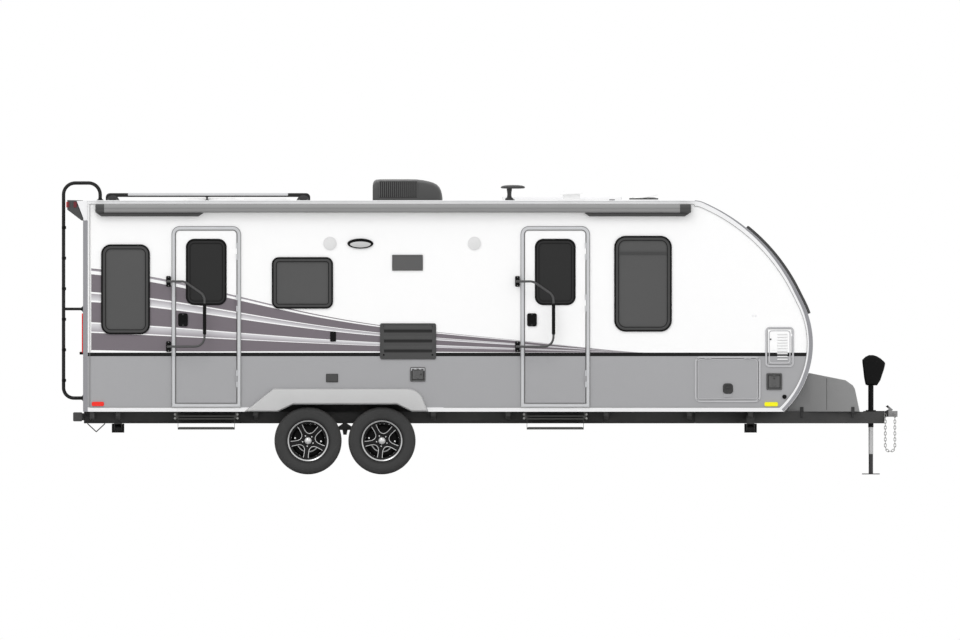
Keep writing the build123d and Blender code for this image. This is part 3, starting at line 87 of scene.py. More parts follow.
# ---------------------------------------------------------------- shader maths
class Value:
    """A socket of a shader graph that can be reckoned with like a number."""

    def __init__(self, graph: "Graph", socket: bpy.types.NodeSocket) -> None:
        """Keeps the graph and the socket.

        Args:
            graph: The graph that new Math nodes go into.
            socket: The output socket that holds the value.
        """
        self.graph = graph
        self.socket = socket

    def _maths(self, operation: str, *others: "Value | float", flipped: bool = False) -> "Value":
        """Adds a Math node.

        Args:
            operation: Blender's name of the operation.
            others: The further operands.
            flipped: Whether this value is the second operand.

        Returns:
            The result as a value.
        """
        values = [self, *others]
        if flipped:
            values[0], values[1] = values[1], values[0]
        return self.graph.value("ShaderNodeMath", {"operation": operation}, dict(enumerate(values)))

    def __add__(self, other: "Value | float") -> "Value":
        """Sum."""
        return self._maths("ADD", other)

    __radd__ = __add__

    def __sub__(self, other: "Value | float") -> "Value":
        """Difference."""
        return self._maths("SUBTRACT", other)

    def __rsub__(self, other: "Value | float") -> "Value":
        """Difference from a plain number."""
        return self._maths("SUBTRACT", other, flipped=True)

    def __mul__(self, other: "Value | float") -> "Value":
        """Product."""
        return self._maths("MULTIPLY", other)

    __rmul__ = __mul__

    def __truediv__(self, other: "Value | float") -> "Value":
        """Quotient."""
        return self._maths("DIVIDE", other)

    def __pow__(self, other: "Value | float") -> "Value":
        """Power."""
        return self._maths("POWER", other)

    def __gt__(self, other: "Value | float") -> "Value":
        """One where this value is the greater, else nought."""
        return self._maths("GREATER_THAN", other)

    def __lt__(self, other: "Value | float") -> "Value":
        """One where this value is the smaller, else nought."""
        return self._maths("LESS_THAN", other)

    def __abs__(self) -> "Value":
        """Size without its sign."""
        return self._maths("ABSOLUTE")

    def root(self) -> "Value":
        """Square root."""
        return self._maths("SQRT")

    def sine(self) -> "Value":
        """Sine of an angle in radians."""
        return self._maths("SINE")

    def fraction(self) -> "Value":
        """What is left of the value after its whole part."""
        return self._maths("FRACT")

    def most(self, other: "Value | float") -> "Value":
        """The greater of two values."""
        return self._maths("MAXIMUM", other)

    def ramp(self, low: float, high: float) -> "Value":
        """Nought at low, one at high and a smooth rise between them.

        Args:
            low: Where the rise starts.
            high: Where the rise ends.

        Returns:
            The rise as a value.
        """
        settings = {"interpolation_type": "SMOOTHSTEP"}
        return self.graph.value("ShaderNodeMapRange", settings, {"Value": self, "From Min": low, "From Max": high})


Colour = tuple[float, float, float]


class Graph:
    """The node tree of one material."""

    def __init__(self, name: str) -> None:
        """Starts a material with a Principled shader.

        Args:
            name: Name of the material.
        """
        self.material = bpy.data.materials.new(name)
        self.material.use_nodes = True
        self.tree = self.material.node_tree
        self.shader = next(node for node in self.tree.nodes if node.type == "BSDF_PRINCIPLED")
        self._position = None

    def node(self, kind: str, settings: dict | None = None, inputs: dict | None = None) -> bpy.types.Node:
        """Adds one node.

        Args:
            kind: Blender's name of the node's type.
            settings: Properties, set before the sockets are.
            inputs: Values, numbers or colours by the socket's name or place.

        Returns:
            The new node.
        """
        new = self.tree.nodes.new(kind)
        for key, value in (settings or {}).items():
            setattr(new, key, value)
        for key, value in (inputs or {}).items():
            self.feed(new.inputs[key], value)
        return new

    def feed(self, socket: bpy.types.NodeSocket, value: "Value | float | tuple") -> None:
        """Links a value to a socket, or sets the socket to a plain number or colour.

        Args:
            socket: The input socket.
            value: What goes into it.
        """
        if isinstance(value, Value):
            self.tree.links.new(value.socket, socket)
        elif isinstance(value, tuple) and len(value) == 3 and socket.type == "RGBA":
            socket.default_value = (*value, 1.0)
        else:
            socket.default_value = value

    def value(self, kind: str, settings: dict | None = None, inputs: dict | None = None,
              output: int | str = 0) -> Value:
        """Adds one node and returns one of its outputs.

        Args:
            kind: Blender's name of the node's type.
            settings: Properties of the node.
            inputs: What its sockets hold.
            output: Name or place of the output.

        Returns:
            The output as a value.
        """
        return Value(self, self.node(kind, settings, inputs).outputs[output])

    @property
    def position(self) -> Value:
        """The point on the surface in the object's own coordinates."""
        if self._position is None:
            self._position = self.value("ShaderNodeTexCoord", output="Object")
        return self._position

    def axes(self) -> tuple[Value, Value, Value]:
        """X, Y and Z of the point on the surface.

        Returns:
            The three coordinates in metres.
        """
        split = self.node("ShaderNodeSeparateXYZ", None, {0: self.position})
        return tuple(Value(self, split.outputs[place]) for place in range(3))

    def noise(self, scale: float, detail: float = 3.0, stretch: tuple[float, float, float] = (1, 1, 1)) -> Value:
        """Noise between about 0.25 and 0.75.

        Args:
            scale: Grains to the metre.
            detail: How many finer layers it has.
            stretch: Factors on X, Y and Z.

        Returns:
            The noise as a value.
        """
        where = self.value("ShaderNodeMapping", {"vector_type": "POINT"}, {"Vector": self.position, "Scale": stretch})
        return self.value("ShaderNodeTexNoise", None, {"Vector": where, "Scale": scale, "Detail": detail})

    def mix(self, factor: "Value | float", first: "Value | Colour", second: "Value | Colour") -> Value:
        """Mixes two colours.

        Args:
            factor: Share of the second colour.
            first: Colour at nought.
            second: Colour at one.

        Returns:
            The mixed colour.
        """
        new = self.node("ShaderNodeMix", {"data_type": "RGBA"})
        self.feed(new.inputs["Factor"], factor)
        self.feed(new.inputs[6], first)
        self.feed(new.inputs[7], second)
        return Value(self, new.outputs[2])

    def bump(self, height: Value, distance: float, strength: float = 1.0) -> None:
        """Feeds a bump into the shader's normal.

        Args:
            height: Height of the surface, nought to one.
            distance: What a height of one stands for, in metres.
            strength: Share of the effect.
        """
        bump = self.value("ShaderNodeBump", None, {"Height": height, "Distance": distance, "Strength": strength},
                          output="Normal")
        self.feed(self.shader.inputs["Normal"], bump)


def linear(hexadecimal: str) -> Colour:
    """Turns a screen colour into a linear one.

    Args:
        hexadecimal: Six hexadecimal digits.

    Returns:
        Red, green and blue, each raised by the screen's curve of 2.4 with its straight foot.
    """
    parts = [int(hexadecimal[place:place + 2], 16) / 255 for place in (0, 2, 4)]
    return tuple(part / 12.92 if part <= 0.04045 else ((part + 0.055) / 1.055) ** 2.4 for part in parts)


# ---------------------------------------------------------------- finishes
@dataclass(frozen=True)
class Finish:
    """One finish: a colour with slight clouding, a roughness that varies, and a fine grain."""

    name: str
    colour: str
    roughness: float = 0.4
    metallic: float = 0.0
    coat: float = 0.0
    clouding: float = 0.04
    cloud_scale: float = 3.0
    grain: float = 0.0
    grain_scale: float = 900.0
    grain_stretch: tuple[float, float, float] = (1, 1, 1)
    dust: float = 0.0
    specular: float = 0.25

    def base(self, graph: Graph) -> "Value | Colour":
        """Base colour before clouding.

        Args:
            graph: The material's graph.

        Returns:
            The finish's plain colour, unless a subclass paints a pattern.
        """
        return linear(self.colour)

    def material(self) -> bpy.types.Material:
        """Builds the material.

        Returns:
            A material whose clouding, roughness and grain come from noise.
        """
        graph = Graph(self.name)
        shader = graph.shader
        cloud = graph.noise(self.cloud_scale, 4.0)
        base = self.base(graph)
        darker = graph.mix(cloud.ramp(0.3, 0.7) * self.clouding, base, (0.0, 0.0, 0.0))
        if self.dust:
            _, _, height = graph.axes()
            low = (1.0 - height.ramp(0.25, 1.0)) * graph.noise(9.0, 5.0).ramp(0.35, 0.75) * self.dust
            darker = graph.mix(low, darker, linear("8d8578"))
        graph.feed(shader.inputs["Base Color"], darker)
        streaks = graph.noise(self.cloud_scale * 7, 3.0)
        graph.feed(shader.inputs["Roughness"], self.roughness + (streaks - 0.5) * (0.25 * self.roughness))
        shader.inputs["Metallic"].default_value = self.metallic
        shader.inputs["Coat Weight"].default_value = self.coat
        shader.inputs["Coat Roughness"].default_value = 0.08
        shader.inputs["Specular IOR Level"].default_value = self.specular
        if self.grain:
            graph.bump(graph.noise(self.grain_scale, 2.0, self.grain_stretch), self.grain)
        self.extend(graph)
        return graph.material

    def extend(self, graph: Graph) -> None:
        """Room for a subclass to add to the shader."""


@dataclass(frozen=True)
class BodyPaint(Finish):
    """White over grey laminate with a black belt line, and sweeping stripes on the long sides."""

    belt_high: float = 1.3030
    belt_low: float = 1.2640
    lower: str = "a7a7a9"
    lining: str = "d9d7d3"
    stripe: str = "777076"
    stripes: bool = True
    stripe_rear: float = -4.16
    stripe_front: float = 1.75
    stripe_height: float = 0.84

    def base(self, graph: Graph) -> Value:
        """White above the belt line, grey below, and stripes that narrow towards the front.

        A point's share s is its height above the belt over the height of the design there. That height
        falls from the rear as (1 - t) to the power 1.25, with a slow wave, t being the way along.

        Args:
            graph: The material's graph.

        Returns:
            The painted colour.
        """
        x, y, z = graph.axes()
        colour = linear(self.colour)
        if self.stripes:
            along = (x - self.stripe_rear) / (self.stripe_front - self.stripe_rear)
            back = (1.0 - along).most(0.0)
            wave = ((along * 7.5 + 0.6).sine() * 0.13 + 1.0) * (back ** 1.25)
            share = (z - self.belt_high) / (wave * self.stripe_height).most(0.002)
            purple, pale, mist = linear(self.stripe), linear("dcdbde"), linear("a8a3a9")
            on = colour
            bands = ((0.97, 1.0, mist, purple), (0.72, 0.93, purple, purple), (0.62, 0.70, pale, mist),
                     (0.36, 0.60, purple, purple), (0.25, 0.345, mist, pale), (0.03, 0.235, purple, purple))
            for low, high, inner, outer in bands:
                tilt = (along * 9.0).sine() * 0.012
                inside = ((share + tilt) > low) * ((share + tilt) < high)
                on = graph.mix(inside, on, graph.mix((share - low) / (high - low), inner, outer))
            limits = (z > self.belt_high) * (x > self.stripe_rear) * (x < self.stripe_front)
            colour = graph.mix(limits * (abs(y) > 1.19), linear(self.colour), on)
        colour = graph.mix(z < self.belt_low, colour, linear(self.lower))
        belt = (z < self.belt_high) * (z > self.belt_low)
        colour = graph.mix(belt, colour, linear("020202"))
        inner = (abs(y) < 1.197) * (x > -4.222) * (x < 2.2) * (z < 2.86)
        return graph.mix(inner, colour, linear(self.lining))


@dataclass(frozen=True)
class SplitX(Finish):
    """A finish whose colour changes inside some stretches along the caravan."""

    other: str = "666666"
    spans: tuple[tuple[float, float], ...] = ()
    below: float = 9.0

    def base(self, graph: Graph) -> Value:
        """The other colour inside the spans of X, below a height.

        Args:
            graph: The material's graph.

        Returns:
            The mixed colour.
        """
        x, _, z = graph.axes()
        inside = None
        for low, high in self.spans:
            span = (x > low) * (x < high) * (z < self.below)
            inside = span if inside is None else inside.most(span)
        return graph.mix(inside, linear(self.colour), linear(self.other))


@dataclass(frozen=True)
class SplitZ(Finish):
    """A finish whose colour changes below one height."""

    other: str = "474747"
    height: float = 0.219

    def base(self, graph: Graph) -> Value:
        """The other colour below the height."""
        _, _, z = graph.axes()
        return graph.mix(z < self.height, linear(self.colour), linear(self.other))


@dataclass(frozen=True)
class WheelFinish(Finish):
    """A finish that changes with the distance from the nearer wheel's axle."""

    middle_x: float = -1.4445
    half_gap: float = 0.3955
    centre_z: float = 0.36

    def radius(self, graph: Graph) -> Value:
        """Distance of the point on the surface from the axle.

        Args:
            graph: The material's graph.

        Returns:
            The distance in metres.
        """
        x, _, z = graph.axes()
        across = abs(x - self.middle_x) - self.half_gap
        up = z - self.centre_z
        return (across * across + up * up).root()


@dataclass(frozen=True)
class RoadRubber(WheelFinish):
    """Tyre rubber, paler and dustier on the tread, with painted shade that darkens it towards the rim."""

    def base(self, graph: Graph) -> Value:
        """Grey rubber with painted shade that darkens it from the shoulder in towards the bead.

        Args:
            graph: The material's graph.

        Returns:
            The mixed colour.
        """
        radius = self.radius(graph)
        # Painted shade: the rubber is drawn darker near the bead, from a radius of 0.26 m in to 0.215 m.
        ring = graph.mix(radius.ramp(0.215, 0.26), linear("1e1e1e"), linear(self.colour))
        return graph.mix(radius.ramp(0.335, 0.36), ring, linear("474645"))


@dataclass(frozen=True)
class RimPaint(WheelFinish):
    """Black alloy with a machined outer ring."""

    ring: float = 0.2045

    def base(self, graph: Graph) -> Value:
        """Bright and metallic outside the ring's radius, black inside.

        Args:
            graph: The material's graph.

        Returns:
            The mixed colour.
        """
        bright = self.radius(graph) > self.ring
        graph.feed(graph.shader.inputs["Metallic"], bright * 0.85 + 0.1)
        return graph.mix(bright, linear(self.colour), linear("c8c8c8"))

@dataclass(frozen=True)
class Lens(Finish):
    """Moulded lens with fine crossed ribs, red, or yellow in front of a given X."""

    yellow_from: float = 2.9
    rib_rate: float = 500.0

    def base(self, graph: Graph) -> Value:
        """Its own colour behind yellow_from, yellow in front of it."""
        x, _, _ = graph.axes()
        return graph.mix(x > self.yellow_from, linear(self.colour), linear("fff808"))

    def extend(self, graph: Graph) -> None:
        """Adds the ribs as a bump.

        Args:
            graph: The material's graph.
        """
        x, y, z = graph.axes()
        ribs = ((x + y) * self.rib_rate).sine() * 0.5 + (z * self.rib_rate).sine() * 0.5
        graph.bump(ribs, 0.0008)


@dataclass(frozen=True)
class SolarCells(Finish):
    """Dark cells in a grid with pale gaps, inside a pale frame."""

    pitch: float = 0.125

    def base(self, graph: Graph) -> Value:
        """A grid of thin pale lines on dark cells.

        Args:
            graph: The material's graph.

        Returns:
            The mixed colour.
        """
        x, y, _ = graph.axes()
        lines_x = (x / self.pitch).fraction() < 0.03
        lines_y = (y / self.pitch + 0.5).fraction() < 0.03
        return graph.mix(lines_x.most(lines_y), linear(self.colour), linear("8f949b"))


WHITE_WALL = BodyPaint("white_wall", "ffffff", roughness=0.3, clouding=0.006, cloud_scale=0.6)
PLAIN_WALL = BodyPaint("plain_wall", "ffffff", roughness=0.3, clouding=0.006, cloud_scale=0.6, stripes=False)
ROOF_SKIN = Finish("roof_skin", "f6f6f6", roughness=0.6, clouding=0.03, grain=0.0004, grain_scale=400, dust=0.02)
MOULDING = Finish("moulding", "cecfd1", roughness=0.35, metallic=0.2, clouding=0.03)
PALE_MOULDING = Finish("pale_moulding", "f4f4f5", roughness=0.35, clouding=0.02)
GREY_MOULDING = Finish("grey_moulding", "97979b", roughness=0.38, metallic=0.3, clouding=0.03)
FENDER = Finish("fender_plastic", "c7c7c7", roughness=0.32, clouding=0.02, dust=0.08, grain=0.0002)
WINDOW_FRAME = Finish("window_frame", "444444", roughness=0.4, clouding=0.05, grain=0.0001)
FRAME_EDGE = Finish("frame_edge", "080808", roughness=0.6, clouding=0.05, specular=0.15)
SIDE_GLASS = Finish("side_glass", "545454", roughness=0.07, clouding=0.06, cloud_scale=0.7)
DOOR_GLASS = Finish("door_glass", "242424", roughness=0.07, clouding=0.06, cloud_scale=0.7)
CHASSIS = Finish("chassis_black", "464646", roughness=0.5, clouding=0.15, grain=0.0003, grain_scale=350, dust=0.06)
DRAWBAR = Finish("drawbar_black", "424242", roughness=0.5, clouding=0.12, grain=0.0003, grain_scale=350, dust=0.05)
AWNING = Finish("awning_grey", "929292", roughness=0.38, metallic=0.25, clouding=0.03)
AWNING_DARK = Finish("awning_dark", "4a4a4a", roughness=0.45, clouding=0.05, grain=0.0001)
DARK_PLASTIC = Finish("dark_plastic", "3e3e3e", roughness=0.5, clouding=0.06, grain=0.0003, grain_scale=600)
GREY_HATCH = Finish("grey_hatch", "5e5e5e", roughness=0.45, clouding=0.05, grain=0.0002)
BLACK_PLASTIC = Finish("black_plastic", "0c0c0c", roughness=0.42, clouding=0.08, grain=0.0002, specular=0.12)
WHITE_PLASTIC = Finish("white_plastic", "f2f2f2", roughness=0.4, clouding=0.03, grain=0.0002)
SPEAKER = Finish("speaker_grey", "e6e6e6", roughness=0.5, clouding=0.03, grain=0.0002)
TUBE_BLACK = Finish("tube_black", "1c1c1c", roughness=0.38, clouding=0.1, grain=0.0002, grain_scale=700)
LENS = Lens("lens", "fa2a1c", roughness=0.15, coat=0.3, clouding=0.03)
SIDE_LAMP = Lens("side_lamp", "6e2a30", roughness=0.3, clouding=0.05)
DECK = Finish("deck", "1e1e1e", roughness=0.8, clouding=0.2, grain=0.0006, grain_scale=200, dust=0.15)
STEP_METAL = Finish("step_metal", "4c4c4a", roughness=0.45, metallic=0.3, clouding=0.08,
                    grain=0.0004, grain_scale=250, grain_stretch=(1, 6, 1))
JACK_LEG = SplitZ("jack_leg", "c8c8c8", roughness=0.25, metallic=0.6, clouding=0.06)
ZINC = Finish("zinc", "a0a09e", roughness=0.35, metallic=0.7, clouding=0.15, cloud_scale=60)
STABILISER = Finish("stabiliser", "262626", roughness=0.5, metallic=0.3, clouding=0.15)
CHROME = Finish("chrome", "e2e2e2", roughness=0.12, metallic=0.95, clouding=0.04)
MACHINED = Finish("machined", "cfcfcf", roughness=0.3, metallic=0.75, clouding=0.05,
                  grain=0.0001, grain_scale=1500)
RUBBER = RoadRubber("road_rubber", "3f3f3f", roughness=0.72, clouding=0.08, grain=0.0003, grain_scale=500)
RIM = RimPaint("rim_paint", "090909", roughness=0.3, clouding=0.06)
BEAD_GREY = Finish("bead_grey", "8b8b8b", roughness=0.35, metallic=0.2, clouding=0.03)
BEAD_PALE = Finish("bead_pale", "c8c8ca", roughness=0.35, metallic=0.1, clouding=0.03)
VENT_DARK = Finish("vent_dark", "4a4a4a", roughness=0.5, clouding=0.06, grain=0.0003, grain_scale=600)
VENT_GREY = Finish("vent_grey", "5e5e5e", roughness=0.5, clouding=0.05, grain=0.0003, grain_scale=600)
# Painted shade: a dark finish for sheets behind louvres and fins, standing for the shade in their openings.
LOUVRE_SHADE = Finish("louvre_gap", "2c2c2c", roughness=0.6, clouding=0.05, specular=0.15)
LAMP_LENS = Finish("lamp_lens", "c9c9c9", roughness=0.15, coat=0.3, clouding=0.05, grain=0.0006, grain_scale=260)
BRAKE = Finish("brake_drum", "141414", roughness=0.6, metallic=0.3, clouding=0.2, cloud_scale=12)
DUST_SHIELD = Finish("dust_shield", "b4b4b4", roughness=0.35, metallic=0.5, clouding=0.15, cloud_scale=12)
LOCK_METAL = Finish("lock_metal", "4a4a4a", roughness=0.35, metallic=0.5, clouding=0.05)
HANDLE = Finish("handle_tube", "565656", roughness=0.35, metallic=0.4, clouding=0.06)
COUPLER = SplitX("coupler_metal", "303030", other="8c8c8c", roughness=0.42, metallic=0.4, spans=((4.370, 4.700),))
SHROUD = Finish("shroud_grey", "4b4b4b", roughness=0.45, clouding=0.05, grain=0.0002, grain_scale=600)
FIN_GREY = Finish("fin_grey", "545454", roughness=0.45, clouding=0.05, grain=0.0002, grain_scale=600)
COVER = Finish("cover_grey", "8f8f8f", roughness=0.38, clouding=0.03, grain=0.0002, dust=0.05)
SOLAR = SolarCells("solar", "1d2026", roughness=0.12, coat=0.3, clouding=0.05)
HATCH_FRAME = SplitX("hatch_frame", "c4c4c6", other="4e4e4e", roughness=0.38, metallic=0.1,
                     spans=((-0.76, -0.57), (3.05, 3.24)), below=1.11)
VENT = SplitX("vent_plastic", "3c3c3c", other="5e5e5e", roughness=0.5, clouding=0.06, grain=0.0003,
              spans=((-0.95, -0.60),))


class FinishBook:
    """Builds each finish's material once and hands it out."""

    def __init__(self) -> None:
        """Starts with no materials."""
        self._made: dict[str, bpy.types.Material] = {}

    def __call__(self, finish: Finish) -> bpy.types.Material:
        """Returns the material of a finish.

        Args:
            finish: The finish.

        Returns:
            Its material, made on first use.
        """
        if finish.name not in self._made:
            self._made[finish.name] = finish.material()
        return self._made[finish.name]


MATERIAL = FinishBook()


# ---------------------------------------------------------------- surfaces
def arc(start: float, end: float, count: int) -> np.ndarray:
    """Evenly spaced angles.

    Args:
        start: First angle in degrees.
        end: Last angle in degrees.
        count: How many there are.

    Returns:
        The angles in radians.
    """
    return np.radians(np.linspace(start, end, count))


def rounded_outline(width: float, height: float, radius: float, steps: int = 6) -> np.ndarray:
    """Closed rectangle with round corners, anticlockwise round the origin.

    Each corner is a quarter circle of the radius about a point that lies that far inside both sides.

    Args:
        width: Full width.
        height: Full height.
        radius: Corner radius.
        steps: Points on each corner.

    Returns:
        Points as rows of two numbers.
    """
    corner = np.array([[1, 1], [-1, 1], [-1, -1], [1, -1]])
    middles = corner * [width / 2 - radius, height / 2 - radius]
    turn = arc(0, 90, steps)[None, :] + np.arange(4)[:, None] * math.pi / 2
    ring = middles[:, None, :] + radius * np.stack([np.cos(turn), np.sin(turn)], axis=-1)
    return ring.reshape(-1, 2)


def lathe(profile: np.ndarray, centre: tuple[float, float, float], axis: int = 1, count: int = 48,
          turn: float = 0.0) -> np.ndarray:
    """Turns a profile about an axis of the frame.

    Point (i, j) is profile radius j at angle i round the axis, moved along it by profile place j.

    Args:
        profile: Rows of radius and place along the axis.
        centre: Where the axis has its place nought.
        axis: 0, 1 or 2 for X, Y or Z.
        count: Points round.
        turn: First angle in radians.

    Returns:
        Grid of points, closed round its first direction.
    """
    angle = turn + np.arange(count) * 2 * math.pi / count
    radius, along = profile[:, 0], profile[:, 1]
    first, second = (axis + 1) % 3, (axis + 2) % 3
    grid = np.zeros((count, len(profile), 3))
    grid[..., first] = np.cos(angle)[:, None] * radius
    grid[..., second] = np.sin(angle)[:, None] * radius
    grid[..., axis] = along[None, :]
    return grid + np.array(centre)


def sweep(path: np.ndarray, section: np.ndarray, upward: tuple[float, float, float] = (0, 0, 1),
          closed: bool = False) -> np.ndarray:
    """Carries a flat section along a path.

    At each path point the section's first number runs across the path and upward, and the second along
    the part of upward that is square to the path.

    Args:
        path: Rows of points.
        section: Rows of two numbers.
        upward: A direction never along the path.
        closed: Whether the path returns to its start.

    Returns:
        Grid of points, one row for each path point.
    """
    if closed:
        ahead = np.roll(path, -1, axis=0) - np.roll(path, 1, axis=0)
    else:
        ahead = np.gradient(path, axis=0)
    ahead /= np.linalg.norm(ahead, axis=1, keepdims=True)
    side = np.cross(ahead, np.array(upward, dtype=float))
    side /= np.linalg.norm(side, axis=1, keepdims=True)
    rise = np.cross(side, ahead)
    return path[:, None, :] + section[None, :, :1] * side[:, None, :] + section[None, :, 1:] * rise[:, None, :]


def circle(radius: float, count: int = 12) -> np.ndarray:
    """Closed round section.

    Args:
        radius: Its radius.
        count: Points round.

    Returns:
        Rows of two numbers.
    """
    angle = np.arange(count) * 2 * math.pi / count
    return radius * np.stack([np.cos(angle), np.sin(angle)], axis=-1)


def smooth_path(points: list[tuple[float, float, float]], radius: "float | np.ndarray", steps: int = 8) -> np.ndarray:
    """Rounds the corners of a path with curves.

    Each corner becomes a quadratic curve between two points on its legs, at most half a leg away.

    Args:
        points: The corners.
        radius: How far from a corner its curve starts, for all corners or as a column with a row for each.
        steps: Points on each curve.

    Returns:
        Rows of points.
    """
    corners = np.array(points, dtype=float)
    legs = np.diff(corners, axis=0)
    lengths = np.linalg.norm(legs, axis=1, keepdims=True)
    unit = legs / lengths
    reach = np.minimum(radius, np.minimum(lengths[:-1], lengths[1:]) * 0.49)
    start, end = corners[1:-1] - unit[:-1] * reach, corners[1:-1] + unit[1:] * reach
    t = np.linspace(0, 1, steps)[None, :, None]
    curve = (1 - t) ** 2 * start[:, None] + 2 * t * (1 - t) * corners[1:-1, None] + t ** 2 * end[:, None]
    return np.vstack([corners[:1], curve.reshape(-1, 3), corners[-1:]])


class Piece:
    """One visible piece, gathered from patches into a single mesh."""

    def __init__(self, name: str, finish: Finish, body: str = ROOT, slot: str = "",
                 replaces: tuple[str, ...] = ()) -> None:
        """Starts an empty piece.

        Args:
            name: Name of the object.
            finish: Its finish.
            body: The CAD body it rides on.
            slot: The record's material slot; it is kept on the piece and not used.
            replaces: CAD nodes that it stands for.
        """
        self.name, self.finish, self.body, self.slot, self.nodes = name, finish, body, slot, replaces
        self.points: list[np.ndarray] = []
        self.faces: list[tuple[int, ...]] = []
        self.total = 0

    def _place(self, points: np.ndarray) -> int:
        """Adds points.

        Args:
            points: Points in an array whose last direction is X, Y and Z.

        Returns:
            The number of the first of them.
        """
        first = self.total
        self.points.append(points.reshape(-1, 3))
        self.total += len(self.points[-1])
        return first

    def grid(self, points: np.ndarray, wrap_rows: bool = False, wrap_columns: bool = False, flip: bool = False,
             cap_rows: bool = False, cap_columns: bool = False) -> "Piece":
        """Adds a grid of points as four-sided faces.

        Args:
            points: Rows by columns by three.
            wrap_rows: Whether the last row joins the first.
            wrap_columns: Whether the last column joins the first.
            flip: Whether to turn the faces round.
            cap_rows: Whether the first and last row are closed with a face each.
            cap_columns: The same for the first and last column.

        Returns:
            The piece.
        """
        rows, columns = points.shape[:2]
        first = self._place(points)
        number = first + np.arange(rows * columns).reshape(rows, columns)
        if wrap_rows:
            number = np.vstack([number, number[:1]])
        if wrap_columns:
            number = np.hstack([number, number[:, :1]])
        quads = np.stack([number[:-1, :-1], number[:-1, 1:], number[1:, 1:], number[1:, :-1]], axis=-1).reshape(-1, 4)
        ends = []
        if cap_rows:
            width = columns
            ends += [number[0, :width][::-1], number[-1, :width]]
        if cap_columns:
            ends += [number[:rows, 0], number[:rows, -1][::-1]]
        step = -1 if flip else 1
        self.faces += [tuple(face) for face in quads[:, ::step].tolist()]
        self.faces += [tuple(face[::step].tolist()) for face in ends]
        return self

    def turned(self, profile: np.ndarray, centre: tuple, axis: int = 1, count: int = 48,
               hollow: bool = False) -> "Piece":
        """Adds a profile turned about an axis.

        Args:
            profile: Rows of radius and place along the axis.
            centre: Where the axis has its place nought.
            axis: 0, 1 or 2 for X, Y or Z.
            count: Points round.
            hollow: Whether the profile's end joins its start, round a bore.

        Returns:
            The piece.
        """
        return self.grid(lathe(profile, centre, axis, count), wrap_rows=True, wrap_columns=hollow)

    def slab(self, front: np.ndarray, back: np.ndarray) -> "Piece":
        """Adds two sheets of points and the strip round their edges.

        Args:
            front: Rows by columns by three.
            back: The same for the other sheet.

        Returns:
            The piece.
        """
        loops = [np.concatenate([sheet[0, :-1], sheet[:-1, -1], sheet[-1, :0:-1], sheet[:0:-1, 0]])
                 for sheet in (front, back)]
        return self.grid(front).grid(back, flip=True).grid(np.stack(loops), wrap_columns=True)

    def prism(self, outline: np.ndarray, low: float, high: float, axis: int = 1, centre: tuple = (0, 0, 0),
              bevel: float = 0.0) -> "Piece":
        """Adds a plate of a closed outline.

        Args:
            outline: Rows of the two numbers across the axis: X and Z for Y, Y and Z for X, X and Y for Z.
            low: Start along the axis.
            high: End along the axis.
            axis: 0, 1 or 2.
            centre: What the outline and the axis are measured from.
            bevel: Width of a chamfer round both ends.

        Returns:
            The piece.
        """
        across = [place for place in range(3) if place != axis]
        way = 1 if high > low else -1
        middle = (outline.max(axis=0) + outline.min(axis=0)) / 2
        half = np.maximum((outline.max(axis=0) - outline.min(axis=0)) / 2, 1e-9)
        small = middle + (outline - middle) * (1 - bevel / half)
        rings = [(small, low), (outline, low + way * bevel), (outline, high - way * bevel), (small, high)]
        if not bevel:
            rings = [(outline, low), (outline, high)]
        points = np.zeros((len(rings), len(outline), 3))
        for row, (ring, place) in enumerate(rings):
            points[row][:, across] = ring
            points[row][:, axis] = place
        return self.grid(points + np.array(centre), wrap_columns=True, cap_rows=True)

    def build(self, fix: bool = True) -> bpy.types.Object:
        """Makes the mesh object, dresses it and lets it ride on its body.

        Args:
            fix: Whether the faces are turned outwards.

        Returns:
            The object.
        """
        mesh = bpy.data.meshes.new(self.name)
        mesh.from_pydata(np.vstack(self.points).tolist(), [], self.faces)
        if fix:
            turn_outwards(mesh)
        mesh.polygons.foreach_set("use_smooth", np.ones(len(mesh.polygons), dtype=bool))
        mesh.set_sharp_from_angle(angle=SHARP_ANGLE)
        thing = bpy.data.objects.new(self.name, mesh)
        bpy.context.scene.collection.objects.link(thing)
        mesh.materials.append(MATERIAL(self.finish))
        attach(thing, self.body)
        if self.nodes:
            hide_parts(*self.nodes)
        LOG.info("%s: %d faces on %s", self.name, len(mesh.polygons), self.body)
        return thing


def turn_outwards(mesh: bpy.types.Mesh) -> None:
    """Merges doubles and makes every face point outwards.

    Args:
        mesh: The mesh to mend.
    """
    work = bmesh.new()
    work.from_mesh(mesh)
    bmesh.ops.remove_doubles(work, verts=work.verts, dist=1e-6)
    bmesh.ops.recalc_face_normals(work, faces=work.faces)
    work.to_mesh(mesh)
    work.free()
    mesh.update()


